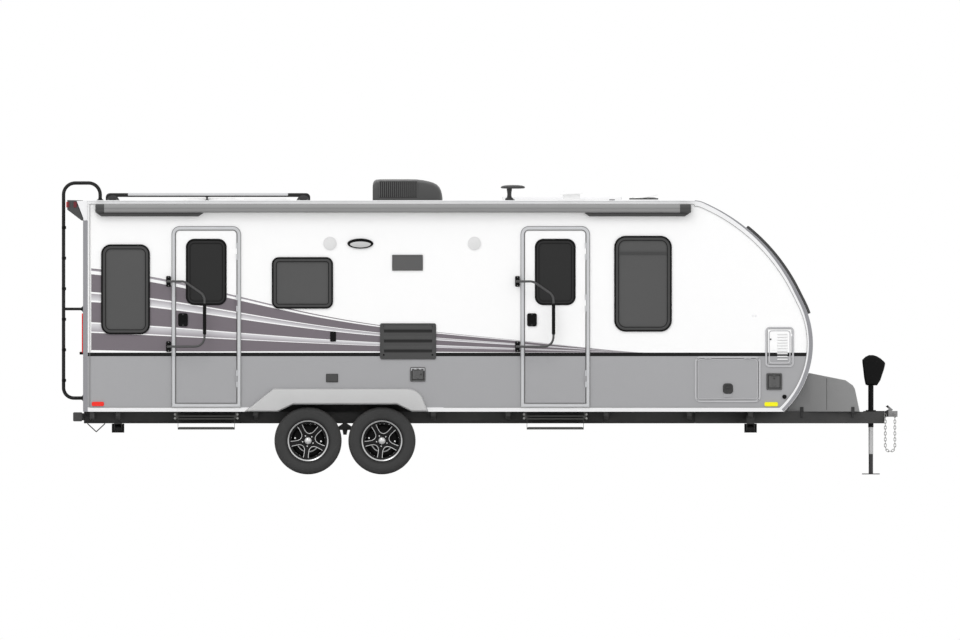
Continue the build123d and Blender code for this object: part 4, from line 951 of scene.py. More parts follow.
# ---------------------------------------------------------------- stage
@dataclass
class Studio:
    """Pale floor, soft lights and a parallel-view camera square to the right side."""

    distance: float = 40.0
    wall_y: float = -1.22
    eye_height: float = 1.652
    field_width: float = 10.272
    floor_reach: float = 420.0
    sky: float = 1.0

    def camera(self) -> None:
        """Places the camera level, at the middle of the length."""
        data = bpy.data.cameras.new("camera")
        data.type = "ORTHO"
        data.ortho_scale = self.field_width
        data.clip_end = 1000.0
        eye = bpy.data.objects.new("camera", data)
        eye.location = (0.0, self.wall_y - self.distance, self.eye_height)
        eye.rotation_euler = (math.pi / 2, 0.0, 0.0)
        bpy.context.scene.collection.objects.link(eye)
        bpy.context.scene.camera = eye

    def floor(self) -> None:
        """One flat sheet, wide enough to fill the picture from every side."""
        edge = np.linspace(-self.floor_reach, self.floor_reach, 3)
        points = np.zeros((3, 3, 3))
        points[..., 0], points[..., 1] = edge[:, None], edge[None, :]
        mesh = bpy.data.meshes.new("studio_floor")
        sheet = Piece("studio_floor", ROOF_SKIN)
        sheet.grid(points, flip=True)
        mesh.from_pydata(np.vstack(sheet.points).tolist(), [], sheet.faces)
        thing = bpy.data.objects.new("studio_floor", mesh)
        bpy.context.scene.collection.objects.link(thing)
        paper = Graph("studio_paper")
        paper.feed(paper.shader.inputs["Base Color"], (0.72, 0.72, 0.72))
        paper.shader.inputs["Roughness"].default_value = 0.9
        mesh.materials.append(paper.material)

    def light(self, name: str, toward: tuple[float, float, float], angle: float, power: float) -> None:
        """Adds a broad distant light.

        Args:
            name: Its name.
            toward: The way that its light travels.
            angle: How wide it looks, in degrees.
            power: Watts on a square metre.
        """
        data = bpy.data.lights.new(name, "SUN")
        data.angle = math.radians(angle)
        data.energy = power
        lamp = bpy.data.objects.new(name, data)
        lamp.rotation_euler = Vector(toward).to_track_quat("-Z", "Y").to_euler()
        bpy.context.scene.collection.objects.link(lamp)

    def build(self) -> None:
        """Sets up the camera, the floor, the sky and the lights."""
        self.camera()
        self.floor()
        world = bpy.data.worlds.new("sky")
        world.use_nodes = True
        back = world.node_tree.nodes["Background"]
        back.inputs[0].default_value = (1.0, 1.0, 1.0, 1.0)
        back.inputs[1].default_value = self.sky
        bpy.context.scene.world = world
        self.light("key", (0.35, 0.75, -0.9), 25.0, 0.5)
        self.light("back", (0.2, -0.8, -0.7), 30.0, 0.25)
        bpy.context.scene.view_settings.view_transform = "Standard"


# ---------------------------------------------------------------- CAD nodes that keep their shape
@dataclass
class Dressing:
    """Gives every CAD node its finish."""

    finishes: dict[Finish, tuple[str, ...]] = field(default_factory=lambda: {
        WHITE_WALL: ("side_wall_right", "side_wall_left", "door_rear", "door_front", "baggage_door", "vented_hatch"),
        PLAIN_WALL: ("rear_wall", "nose_cap"),
        ROOF_SKIN: ("roof",),
        PALE_MOULDING: ("edge_trim",),
        MOULDING: ("door_frames",),
        HATCH_FRAME: ("hatch_frames",),
        GREY_HATCH: ("middle_hatch", "nose_hatch"),
        FENDER: ("fenders",),
        WINDOW_FRAME: ("window_frames",),
        SIDE_GLASS: ("window_glass",),
        DOOR_GLASS: ("door_rear_window", "door_front_window"),
        CHASSIS: ("chassis_rails", "cross_members", "running_gear", "bumper"),
        COUPLER: ("coupler",),
        DRAWBAR: ("drawbar",),
        AWNING: ("awning_case",),
        AWNING_DARK: ("awning_arms", "rear_spoiler"),
        DARK_PLASTIC: ("air_conditioner", "antenna"),
        VENT: ("side_vents",),
        BLACK_PLASTIC: ("jack_body",),
        WHITE_PLASTIC: ("roof_vents", "side_fittings"),
        TUBE_BLACK: ("ladder", "grab_handle_rear", "grab_handle_front", "roof_rack"),
        LENS: ("lamps",),
        DECK: ("floor",),
        STEP_METAL: ("step_rear", "step_front", "step_brackets"),
        JACK_LEG: ("jack_leg",),
        ZINC: ("safety_chains",),
        STABILISER: tuple(f"stabiliser_{side.word}_{place}" for side in Side for place in ("rear", "front")),
        RUBBER: tuple(f"tyre_{side.word}_{place}" for side in Side for place in ("rear", "front")),
        RIM: tuple(f"rim_{side.word}_{place}" for side in Side for place in ("rear", "front")),
        COVER: ("tongue_cover",),
        SOLAR: ("solar_panel",),
    })

    def build(self, nodes: dict[str, bpy.types.Object]) -> None:
        """Puts each finish on its nodes.

        Args:
            nodes: The CAD nodes by name.
        """
        left = set(nodes)
        for finish, names in self.finishes.items():
            for name in names:
                slots = nodes[name].material_slots
                for slot in slots:
                    slot.material = MATERIAL(finish)
                left.discard(name)
            LOG.info("%s on %s", finish.name, ", ".join(names))
        for name in sorted(left):
            LOG.warning("%s has no finish", name)


@dataclass
class Wheels:
    """Four tyres with a cut tread, and machined edges, nuts and caps on their rims."""

    axles: dict[str, float] = field(default_factory=lambda: {"rear": -1.840, "front": -1.049})
    wheel_y: float = 1.122
    radius: float = 0.360
    crown: float = 0.0035
    sidewall: tuple[tuple[float, float], ...] = (
        (0.1995, 0.0838), (0.203, 0.0880), (0.210, 0.0915), (0.214, 0.0925), (0.2145, 0.0940), (0.2195, 0.0950),
        (0.220, 0.0942), (0.236, 0.0992), (0.256, 0.1048), (0.276, 0.1092), (0.292, 0.1113), (0.306, 0.1118),
        (0.3065, 0.1106), (0.316, 0.1100), (0.3165, 0.1108), (0.328, 0.1080), (0.338, 0.1040), (0.346, 0.0985),
        (0.3515, 0.0925), (0.3550, 0.0860))
    tread_half: float = 0.080
    groove_edges: tuple[float, ...] = (0.060, 0.0585, 0.0515, 0.050, 0.026, 0.0245, 0.0175, 0.016)
    groove_depth: float = 0.008
    pitches: int = 60
    notch_depth: float = 0.006
    slant: float = 0.55
    disc_y: float = 0.056
    disc_slope: float = 0.199
    hub_radius: float = 0.052
    spokes: int = 5
    spoke_first: float = 61.5
    window: tuple[tuple[float, float], ...] = (
        (0.0765, 0.0), (0.0820, -0.0210), (0.0940, -0.0385), (0.112, -0.0530), (0.137, -0.0700), (0.1640, -0.0860))
    strip_half: float = 0.0032
    nut_circle: float = 0.0590
    drum: tuple[tuple[float, float], ...] = ((0.054, 0.018), (0.100, 0.018), (0.106, 0.015), (0.108, 0.008),
                                             (0.108, -0.002), (0.160, -0.004), (0.160, -0.010), (0.126, -0.014),
                                             (0.126, -0.044), (0.180, -0.046), (0.180, -0.054), (0.126, -0.056),
                                             (0.126, -0.082), (0.054, -0.082))
    nut_radius: float = 0.0105
    studs: tuple[tuple[float, float], ...] = ((169.5, 0.1420), (-3.5, 0.1400))
    shield_arc: tuple[float, float] = (196.0, 344.0)
    shield_radius: float = 0.1180
    shield_growth: float = 0.001
    shield_y: float = 0.026

    def tread(self) -> tuple[np.ndarray, np.ndarray, np.ndarray]:
        """Profile of the tyre from bead to bead.

        Returns:
            Radius, place across and notch share of every point.
        """
        half = [(r, y, 0.0 if r < 0.333 else 0.75) for r, y in self.sidewall]
        half += [(self.radius - self.crown, self.tread_half, 1.0)]
        for place, y in enumerate(self.groove_edges):
            deep = place % 4 in (1, 2)
            r = self.radius - self.crown * (y / self.tread_half) ** 2 - (self.groove_depth if deep else 0)
            half.append((r, y, 0.0 if deep or place == 7 else 1.0 if place < 3 else -1.0))
        rows = np.array(half + [(r, -y, notch) for r, y, notch in half[::-1]])
        return rows[:, 0], rows[:, 1], rows[:, 2]

    def tyre(self, side: Side, place: str) -> None:
        """Builds one tyre.

        The profile runs from bead to bead and is turned about the axle. Each pitch has two notches, where
        the radius drops by the notch depth: one for the shoulders and one for the middle blocks. The
        angle of a point is sheared by its distance from the middle plane, so that the notches slant.

        Args:
            side: The caravan's side.
            place: The axle, rear or front.
        """
        radius, across, kind = self.tread()
        shares = np.array([0.0, 0.03, 0.14, 0.17, 0.5, 0.53, 0.62, 0.65])
        shoulder = np.array([0, 1, 1, 0, 0, 0, 0, 0])
        middle = np.array([0, 0, 0, 0, 0, 1, 1, 0])
        angle = ((np.arange(self.pitches)[:, None] + shares[None, :]) * 2 * math.pi / self.pitches).ravel()
        low, mid = np.tile(shoulder, self.pitches), np.tile(middle, self.pitches)
        drop = self.notch_depth * (low[:, None] * np.maximum(kind, 0) + mid[:, None] * np.maximum(-kind, 0))
        turned = angle[:, None] + self.slant * np.clip(across, -0.05, 0.05)[None, :]
        reach = radius[None, :] - drop
        grid = np.stack([np.cos(turned) * reach, np.broadcast_to(across, reach.shape), np.sin(turned) * reach], axis=-1)
        grid += [self.axles[place], side.value * self.wheel_y, self.radius]
        name = f"{side.word}_{place}"
        piece = Piece(f"road_tyre_{name}", RUBBER, f"wheel_{name}", "tyre", (f"tyre_{name}",))
        piece.grid(grid, wrap_rows=True, wrap_columns=True).build()

    def strip(self, corners: tuple[tuple[float, float], ...], turn: float) -> np.ndarray:
        """A machined edge in the shape of a U that follows the disc's cone.

        A quadratic curve rounds each of its corners.

        Args:
            corners: Half of the U along and across its middle direction, from its foot to one end.
            turn: That direction in radians.

        Returns:
            Grid of the strip's points about the wheel's middle, outer side towards +Y.
        """
        half = np.array(corners)
        whole = np.vstack([half[::-1], half[1:] * [1, -1]])
        flat = smooth_path([(u, v, 0.0) for u, v in whole], 0.03, 5)[:, :2]
        x = flat[:, 0] * math.cos(turn) - flat[:, 1] * math.sin(turn)
        z = flat[:, 0] * math.sin(turn) + flat[:, 1] * math.cos(turn)
        radius = np.hypot(x, z)
        y = self.disc_y + (radius - self.hub_radius) * self.disc_slope
        half = self.strip_half
        section = np.array([(-half, -0.002), (-half, 0.0012), (-half / 2, 0.0022), (half / 2, 0.0022), (half, 0.0012),
                            (half, -0.002)])
        return sweep(np.stack([x, y, z], axis=-1), section, (0, 1, 0))

    def rim(self, side: Side, place: str) -> None:
        """Builds the machined edges, the nuts, the cap, the drum and its balance weights of one wheel.

        Args:
            side: The caravan's side.
            place: The axle, rear or front.
        """
        name = f"{side.word}_{place}"
        centre = np.array([self.axles[place], side.value * self.wheel_y, self.radius])
        way = np.array([side.value, side.value, 1])
        edges = Piece(f"rim_edges_{name}", MACHINED, f"wheel_{name}", "alloy")
        turns = np.radians(self.spoke_first + np.arange(self.spokes) * 360 / self.spokes)
        for turn in turns:
            grid = self.strip(self.window, turn + math.pi / self.spokes)
            edges.grid(grid * way + centre, wrap_columns=True, cap_rows=True)
        edges.build()
        nuts = Piece(f"wheel_nuts_{name}", CHROME, f"wheel_{name}", "alloy")
        seat = self.disc_y + (self.nut_circle - self.hub_radius) * self.disc_slope
        r = self.nut_radius
        hexagon = np.array([(0, seat + 0.017), (r * 0.6, seat + 0.017), (r * 0.88, seat + 0.014), (r, seat + 0.012),
                            (r, seat), (0, seat)])
        for turn in turns:
            spot = (math.cos(turn) * self.nut_circle, 0, math.sin(turn) * self.nut_circle)
            nuts.grid(lathe(hexagon, spot, 1, 6) * way + centre, wrap_rows=True)
        r, top = 0.0368, self.disc_y + 0.008
        cap = np.array([(0, top + 0.0165), (0.010, top + 0.0158), (0.020, top + 0.0135), (0.027, top + 0.0100),
                        (0.0300, top + 0.0065), (0.0310, top + 0.0050), (0.0345, top + 0.0045), (r, top + 0.002),
                        (r, top - 0.008), (0, top - 0.008)])
        nuts.grid(lathe(cap, (0, 0, 0), 1, 40) * way + centre, wrap_rows=True)
        stem = np.array([(0, 0.094), (0.003, 0.094), (0.004, 0.091), (0.004, 0.070), (0, 0.070)])
        turn = turns[0] + 0.9
        nuts.grid(lathe(stem, (math.cos(turn) * 0.192, 0, math.sin(turn) * 0.192), 1, 10) * way + centre,
                  wrap_rows=True)
        nuts.build()
        drum = Piece(f"brake_drum_{name}", BRAKE, f"wheel_{name}", "zinc")
        drum.grid(lathe(np.array(self.drum), (0, 0, 0), 1, 64) * way + centre, wrap_rows=True, wrap_columns=True)
        drum.build()
        for angle, reach in self.studs:
            spot = (math.cos(math.radians(180 - angle)) * reach, 0, math.sin(math.radians(angle)) * reach)
            weight = np.array([(0, 0.044), (0.008, 0.043), (0.0125, 0.039), (0.0135, 0.034), (0.0135, -0.004),
                               (0, -0.004)])
            studs = Piece(f"drum_stud_{name}_{'rear' if angle > 90 else 'front'}", CHROME, f"wheel_{name}", "zinc")
            studs.grid(lathe(weight, spot, 1, 20) * way + centre, wrap_rows=True)
            studs.build()
        self.shield(side, place)

    def shield(self, side: Side, place: str) -> None:
        """Pale lip of the brake's dust shield, which stands still: an arc below the axle.

        A small section is carried round the arc; its radius grows from the middle towards both ends.

        Args:
            side: The caravan's side.
            place: The axle, rear or front.
        """
        turn = arc(*self.shield_arc, 40)
        spread = np.abs(turn - turn.mean()) / (turn[-1] - turn[0]) * 2
        reach = self.shield_radius + self.shield_growth * spread ** 2
        section = np.array([(-0.0065, 0.0), (-0.0055, 0.004), (0.0055, 0.004), (0.0065, 0.0), (0.0055, -0.004),
                            (-0.0055, -0.004)])
        grid = np.zeros((len(turn), len(section), 3))
        grid[..., 0] = np.cos(turn)[:, None] * (reach[:, None] + section[:, 0])
        grid[..., 2] = np.sin(turn)[:, None] * (reach[:, None] + section[:, 0])
        grid[..., 1] = side.value * (self.shield_y + section[:, 1])
        lip = Piece(f"dust_shield_{side.word}_{place}", DUST_SHIELD, slot="zinc")
        lip.grid(grid + [self.axles[place], side.value * self.wheel_y, self.radius], wrap_columns=True, cap_rows=True)
        lip.build()

    def build(self) -> None:
        """Builds the four wheels' pieces."""
        for side in Side:
            for place in self.axles:
                self.tyre(side, place)
                self.rim(side, place)


@dataclass
class RoofGear:
    """Air conditioner with its fins, antenna, roof vents, rack and the solar panel's edge."""

    roof_z: float = 2.932
    ac_rear: float = -1.149
    ac_half: float = 0.350
    ac_line: tuple[tuple[float, float, float], ...] = (
        (0.000, 0.150, 0.0), (0.004, 0.186, 0.0), (0.016, 0.209, 0.0), (0.037, 0.222, 0.0), (0.080, 0.2265, 0.0),
        (0.200, 0.227, 0.0), (0.380, 0.227, 0.0), (0.470, 0.2255, 0.0), (0.540, 0.217, 0.0), (0.600, 0.205, 0.004),
        (0.650, 0.190, 0.010), (0.690, 0.168, 0.022), (0.716, 0.140, 0.040), (0.732, 0.106, 0.066),
        (0.743, 0.066, 0.104), (0.748, 0.024, 0.150))
    ac_power: float = 5.0
    fins: tuple[float, float, float] = (-1.075, -0.675, 20)
    fin_z: tuple[float, float] = (0.034, 0.200)
    dish: tuple[float, float] = (0.352, -0.480)
    mast: tuple[float, float] = (0.314, -0.480)
    rack_y: float = 0.760
    rack_z: float = 2.989
    rail: tuple[float, float] = (-3.767, -2.054)
    hoop: tuple[float, float] = (-3.984, -1.837)
    foot_x: tuple[float, float] = (-3.930, -1.891)
    bars: tuple[float, float, float] = (-3.8845, -2.921, -1.9365)
    vent_boxes: tuple[tuple[float, ...], ...] = ((0.979, -0.760, 0.236, 0.236, 0.090, 0.100),
                                                 (1.752, 0.0, 0.300, 0.380, 0.030, 0.084),
                                                 (-2.875, 0.0, 0.560, 0.560, 0.024, 0.028),
                                                 (-2.300, 0.0, 0.500, 0.400, 0.016, 0.020))
    solar: tuple[float, float, float, float] = (0.241, 1.513, -0.070, 0.590)

    def air_conditioner(self) -> None:
        """Shroud whose crosswise sections are superellipses.

        At each station along the side view, the section's height is the outline's and its half width
        draws in towards the front. A point's share across and up are the cosine and sine of its angle,
        each to the power two over ac_power. Ribs of a few millimetres run along the top.
        """
        line = np.array(self.ac_line)
        angle = arc(0, 180, 73)
        power = 2 / self.ac_power
        across = np.sign(np.cos(angle)) * np.abs(np.cos(angle)) ** power
        up = np.sin(angle) ** power
        half = self.ac_half - 0.006 - line[:, 2]
        grid = np.zeros((len(line), len(angle), 3))
        grid[..., 0] = self.ac_rear + line[:, :1]
        grid[..., 1] = half[:, None] * across
        ribs = 0.003 * (np.cos(across * half[:, None] * 2 * math.pi / 0.11) > 0) * (up > 0.985)
        grid[..., 2] = self.roof_z + np.maximum(line[:, 1:2] * up - ribs, 0)
        shroud = Piece("air_conditioner_shroud", SHROUD, slot="dark_plastic", replaces=("air_conditioner",))
        shroud.grid(grid, cap_rows=True, wrap_columns=True)
        shroud.prism(rounded_outline(0.700, 0.690, 0.03), 0.0, 0.012, 2,
                     (self.ac_rear + 0.352, 0, self.roof_z), 0.004)
        shroud.build()
        grille = Piece("air_conditioner_fins", FIN_GREY, slot="dark_plastic")
        # Painted shade: a dark sheet behind the fins stands for the shade inside the grille.
        grille_shade = Piece("air_conditioner_grille", LOUVRE_SHADE, slot="dark_plastic")
        low, high = self.fin_z
        middle = (self.fins[0] + self.fins[1]) / 2
        length = self.fins[1] - self.fins[0]
        for side in Side:
            wall = side.value * (self.ac_half - 0.012)
            grille_shade.prism(rounded_outline(length + 0.012, high - low + 0.008, 0.01), wall, wall + side.value * 0.008, 1,
                         (middle, 0, self.roof_z + (low + high) / 2), 0.002)
            for x in np.linspace(self.fins[0], self.fins[1], int(self.fins[2])):
                grille.prism(rounded_outline(0.010, high - low, 0.0045), wall, wall + side.value * 0.0118, 1,
                             (x, 0, self.roof_z + (low + high) / 2), 0.001)
        grille.build()
        grille_shade.build()

    def antenna(self) -> None:
        """Round base, mast and flat dome, turned from profiles, with a cable gland."""
        piece = Piece("antenna_dome", DARK_PLASTIC, slot="dark_plastic", replaces=("antenna",))
        base = np.array([(0, 0.030), (0.030, 0.030), (0.040, 0.026), (0.045, 0.016), (0.045, 0.0), (0, 0.0)])
        mast = np.array([(0, 0.127), (0.028, 0.127), (0.028, 0.110), (0.024, 0.090), (0.022, 0.060), (0.024, 0.045),
                         (0.028, 0.029), (0, 0.029)])
        dome = np.array([(0, 0.165), (0.060, 0.1635), (0.100, 0.1585), (0.120, 0.1520), (0.129, 0.1440),
                         (0.130, 0.1380), (0.127, 0.1320), (0.118, 0.1275), (0.060, 0.125), (0, 0.125)])
        for profile, (x, y) in ((base, self.mast), (mast, self.mast), (dome, self.dish)):
            piece.turned(profile, (x, y, self.roof_z), 2, 48)
        piece.build()

    def roof_vents(self) -> None:
        """Flanged vents whose lids are domed.

        The lid is a grid over its plan. Its height is the sloping side view, plus a low cushion that is
        the product of one minus the fourth power of the share along and of the share across.
        """
        piece = Piece("roof_vent_lids", WHITE_PLASTIC, slot="white_plastic", replaces=("roof_vents",))
        for x, y, length, width, low, high in self.vent_boxes:
            piece.prism(rounded_outline(length + 0.044, width + 0.044, 0.03), 0.0, 0.009, 2, (x, y, self.roof_z), 0.003)
            u, v = np.linspace(-1, 1, 21)[:, None], np.linspace(-1, 1, 21)[None, :]
            lid = np.zeros((21, 21, 3))
            lid[..., 0] = x + u * length / 2 * (1 - 0.03 * v ** 4)
            lid[..., 1] = y + v * width / 2 * (1 - 0.03 * u ** 4)
            top = low + (high - low) * (u + 1) / 2 - 0.016
            lid[..., 2] = self.roof_z + top + 0.016 * (1 - u ** 6) * (1 - v ** 6)
            lower = lid.copy()
            lower[..., 2] = self.roof_z + np.broadcast_to(top, (21, 21)) - 0.014
            piece.slab(lid, lower)
            piece.prism(rounded_outline(length - 0.05, width - 0.05, 0.02), 0.008, low + 0.004, 2, (x, y, self.roof_z))
        piece.build()
        skirt = Piece("roof_vent_skirt", DARK_PLASTIC, slot="dark_plastic")
        x, y, length, width, low, _ = self.vent_boxes[1]
        skirt.prism(rounded_outline(length + 0.010, width + 0.010, 0.02), 0.007, low - 0.006, 2, (x, y, self.roof_z),
                    0.002)
        skirt.build()

    def rack(self) -> None:
        """Roof rack: two dark hoops with half-round feet, pale rails along them, crossbars, posts and bolts.

        A hoop is a rounded section carried up from the roof, round a bend, along and down again. A foot is
        half an ellipse over the roof.
        """
        rear, front = self.hoop
        frame = Piece("rack_frame", TUBE_BLACK, slot="tube_black", replaces=("roof_rack",))
        rails = Piece("rack_rails", MOULDING, slot="edge_metal")
        feet = Piece("rack_feet", DARK_PLASTIC, slot="dark_plastic", replaces=("roof_rack",))
        bolts = Piece("rack_bolts", ZINC, slot="zinc")
        head = np.array([(0, 0.0115), (0.007, 0.0115), (0.009, 0.0105), (0.009, 0.005), (0, 0.005)])
        rise = arc(0, 180, 25)
        for side in Side:
            y = side.value * self.rack_y
            line = smooth_path([(rear, y, self.roof_z), (rear, y, self.rack_z), (front, y, self.rack_z),
                                (front, y, self.roof_z)], 0.052, 10)
            frame.grid(sweep(line, rounded_outline(0.042, 0.044, 0.014, 4), (0, 1, 0)), wrap_columns=True,
                       cap_rows=True)
            rails.prism(rounded_outline(0.049, 0.034, 0.012), *self.rail, 0, (0, y, self.rack_z + 0.0060), 0.002)
            for x in self.foot_x:
                dome = np.column_stack([0.067 * np.cos(rise), 0.054 * np.sin(rise)])
                feet.prism(dome, y - 0.026, y + 0.026, 1, (x, 0, self.roof_z + 0.001), 0.004)
                feet.prism(rounded_outline(0.150, 0.090, 0.020), 0.0, 0.006, 2, (x, y, self.roof_z), 0.002)
                for way in (-1, 1):
                    for along in (-0.045, 0.045):
                        bolts.turned(head, (x + along, y + way * 0.036, self.roof_z), 2, 6)
            middle = self.bars[1]
            for width, low, high in ((0.046, 0.0, 0.007), (0.020, 0.006, 0.040), (0.040, 0.034, 0.042)):
                feet.prism(rounded_outline(width, 0.034, 0.004), low, high, 2, (middle, y, self.roof_z), 0.001)
        for x in self.bars:
            frame.prism(rounded_outline(0.040, 0.028, 0.010), -self.rack_y, self.rack_y, 1, (x, 0, self.rack_z - 0.002),
                        0.001)
        frame.build()
        rails.build()
        feet.build()
        bolts.build()

    def panel(self) -> None:
        """White edge round the solar panel."""
        rear, front, right, left = self.solar
        edge = Piece("solar_edge", PALE_MOULDING, slot="solar_cell")
        outline = rounded_outline(front - rear - 0.007, left - right - 0.007, 0.004, 3)
        path = np.column_stack([outline[:, 0] + (rear + front) / 2, outline[:, 1] + (right + left) / 2,
                                np.full(len(outline), self.roof_z + 0.0358)])
        section = np.array([(-0.006, -0.025), (-0.006, 0.001), (-0.004, 0.0026), (0.004, 0.0026), (0.006, 0.001),
                            (0.006, -0.025)])
        edge.grid(sweep(path, section, closed=True), wrap_rows=True, wrap_columns=True)
        edge.build()

    def build(self) -> None:
        """Builds everything on the roof."""
        self.air_conditioner()
        self.antenna()
        self.roof_vents()
        self.rack()
        self.panel()


@dataclass
class Awning:
    """Rolled awning's grey case and its dark end caps."""

    rear: float = -4.116
    front: float = 2.258
    cap: tuple[float, float] = (0.094, 0.118)
    back_y: float = -1.220
    top: float = 2.8927
    low: float = 2.7987
    depth: float = 0.096

    def section(self, grow: float = 0.0) -> np.ndarray:
        """Outline of the case across its length.

        A flat back and top, a quarter round at the upper front, a slightly leaning front with a shallow
        groove, and a quarter round below.

        Args:
            grow: How far the outline draws in.

        Returns:
            Rows of Y and Z.
        """
        front = self.back_y - self.depth + grow
        high, low = self.top - grow, self.low + grow
        upper = arc(90, 180, 9)
        lower = arc(180, 270, 9)
        rise = np.column_stack([front + 0.034 + 0.034 * np.cos(upper), high - 0.034 + 0.034 * np.sin(upper)])
        fall = np.column_stack([front + 0.026 + 0.026 * np.cos(lower), low + 0.026 + 0.026 * np.sin(lower)])
        groove = np.array([(front, low + 0.0455), (front + 0.0025, low + 0.0440), (front + 0.0025, low + 0.0395),
                           (front, low + 0.0380)])
        return np.vstack([[(self.back_y - 0.0005, high)], rise, groove, fall, [(self.back_y - 0.0005, low)]])

    def build(self) -> None:
        """Builds the case and its end caps."""
        case = Piece("awning_shell", AWNING, slot="awning_grey", replaces=("awning_case",))
        case.prism(self.section(0.0015), self.rear + self.cap[0], self.front - self.cap[1], 0)
        case.build()
        caps = Piece("awning_end_caps", AWNING_DARK, slot="awning_grey")
        section = self.section()
        middle = section.mean(axis=0)
        for x, away, reach in ((self.rear, -1, self.cap[0]), (self.front, 1, self.cap[1])):
            stations = ((0.0, 0.86), (0.004, 0.94), (0.012, 0.985), (0.024, 1.0), (reach, 1.0))
            rings = np.zeros((len(stations), len(section), 3))
            for row, (inward, share) in enumerate(stations):
                rings[row, :, 0] = x - away * inward
                rings[row, :, 1:] = middle + (section - middle) * share
            caps.grid(rings, wrap_columns=True, cap_rows=True)
        caps.build()


@dataclass
class Softened:
    """CAD nodes that get small rounds on their edges, as a merged copy."""

    table: tuple[tuple[str, float, str, str], ...] = (
        ("fenders", 0.012, ROOT, "fender_grey"),
        ("tongue_cover", 0.030, ROOT, "cover_grey"),
        ("bumper", 0.004, ROOT, "chassis_black"),
        ("jack_body", 0.010, ROOT, "dark_plastic"),
        ("drawbar", 0.006, ROOT, "frame_black"),
        ("awning_arms", 0.006, ROOT, "awning_grey"),
        ("rear_spoiler", 0.006, ROOT, "awning_grey"),
        ("coupler", 0.0035, ROOT, "chassis_black"),
    )

    def build(self, nodes: dict[str, bpy.types.Object]) -> None:
        """Copies each node's mesh, merges its corners and bevels its sharp edges.

        Args:
            nodes: The CAD nodes by name.
        """
        for name, width, body, slot in self.table:
            mesh = nodes[name].data.copy()
            mesh.name = f"{name}_soft"
            turn_outwards(mesh)
            mesh.polygons.foreach_set("use_smooth", np.ones(len(mesh.polygons), dtype=bool))
            thing = bpy.data.objects.new(f"{name}_soft", mesh)
            bpy.context.scene.collection.objects.link(thing)
            thing.material_slots[0].material = nodes[name].material_slots[0].material
            bevel = thing.modifiers.new("edges", "BEVEL")
            bevel.width = width
            bevel.segments = 3
            bevel.limit_method = "ANGLE"
            bevel.angle_limit = math.radians(25)
            bevel.harden_normals = True
            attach(thing, body)
            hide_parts(name)
            LOG.info("%s: rounds of %.0f mm", mesh.name, width * 1000)


@dataclass
class BodyLine:
    """Side view of the body: straight rear, roof and floor, and a nose of three arcs."""

    rear: float = -4.245
    roof: float = 2.932
    skirt: float = 0.671
    half: float = 1.220
    shoulder_x: float = 2.299
    shoulder: float = 0.240
    slope: float = 2.0
    chin: float = 0.990
    flat: float = 0.150
    turns: tuple[float, float] = (23.3, 63.3)

    def centres(self) -> tuple[tuple[float, float], tuple[float, float], tuple[float, float]]:
        """Middles of the nose's arcs.

        Returns:
            X and Z of the shoulder's, the slope's and the chin's middle.
        """
        first, second = (math.radians(turn) for turn in self.turns)
        top = (self.shoulder_x, self.roof - self.shoulder)
        step = self.shoulder - self.slope
        slope = (top[0] + step * math.sin(first), top[1] + step * math.cos(first))
        step = self.slope - self.chin
        chin = (slope[0] + step * math.sin(second) + self.flat * math.cos(second),
                slope[1] + step * math.cos(second) - self.flat * math.sin(second))
        return top, slope, chin

    def nose(self, headings: np.ndarray, inset: "np.ndarray | float") -> np.ndarray:
        """Points on the nose where it has turned down by some headings.

        Each lies on the arc that its heading belongs to, at the arc's radius less the inset.

        Args:
            headings: Angles in degrees.
            inset: Distance inside the skin.

        Returns:
            Rows of X and Z.
        """
        top, slope, chin = self.centres()
        way = np.radians(headings)
        pick = [headings < self.turns[0], headings < self.turns[1]]
        x = np.select(pick, [top[0], slope[0]], chin[0])
        z = np.select(pick, [top[1], slope[1]], chin[1])
        radius = np.select(pick, [self.shoulder, self.slope], self.chin) - inset
        return np.column_stack([x + radius * np.sin(way), z + radius * np.cos(way)])

    def last_heading(self, inset: float, low: float) -> float:
        """Heading at which the chin comes down to a height."""
        return math.degrees(math.acos((low - self.centres()[2][1]) / (self.chin - inset)))


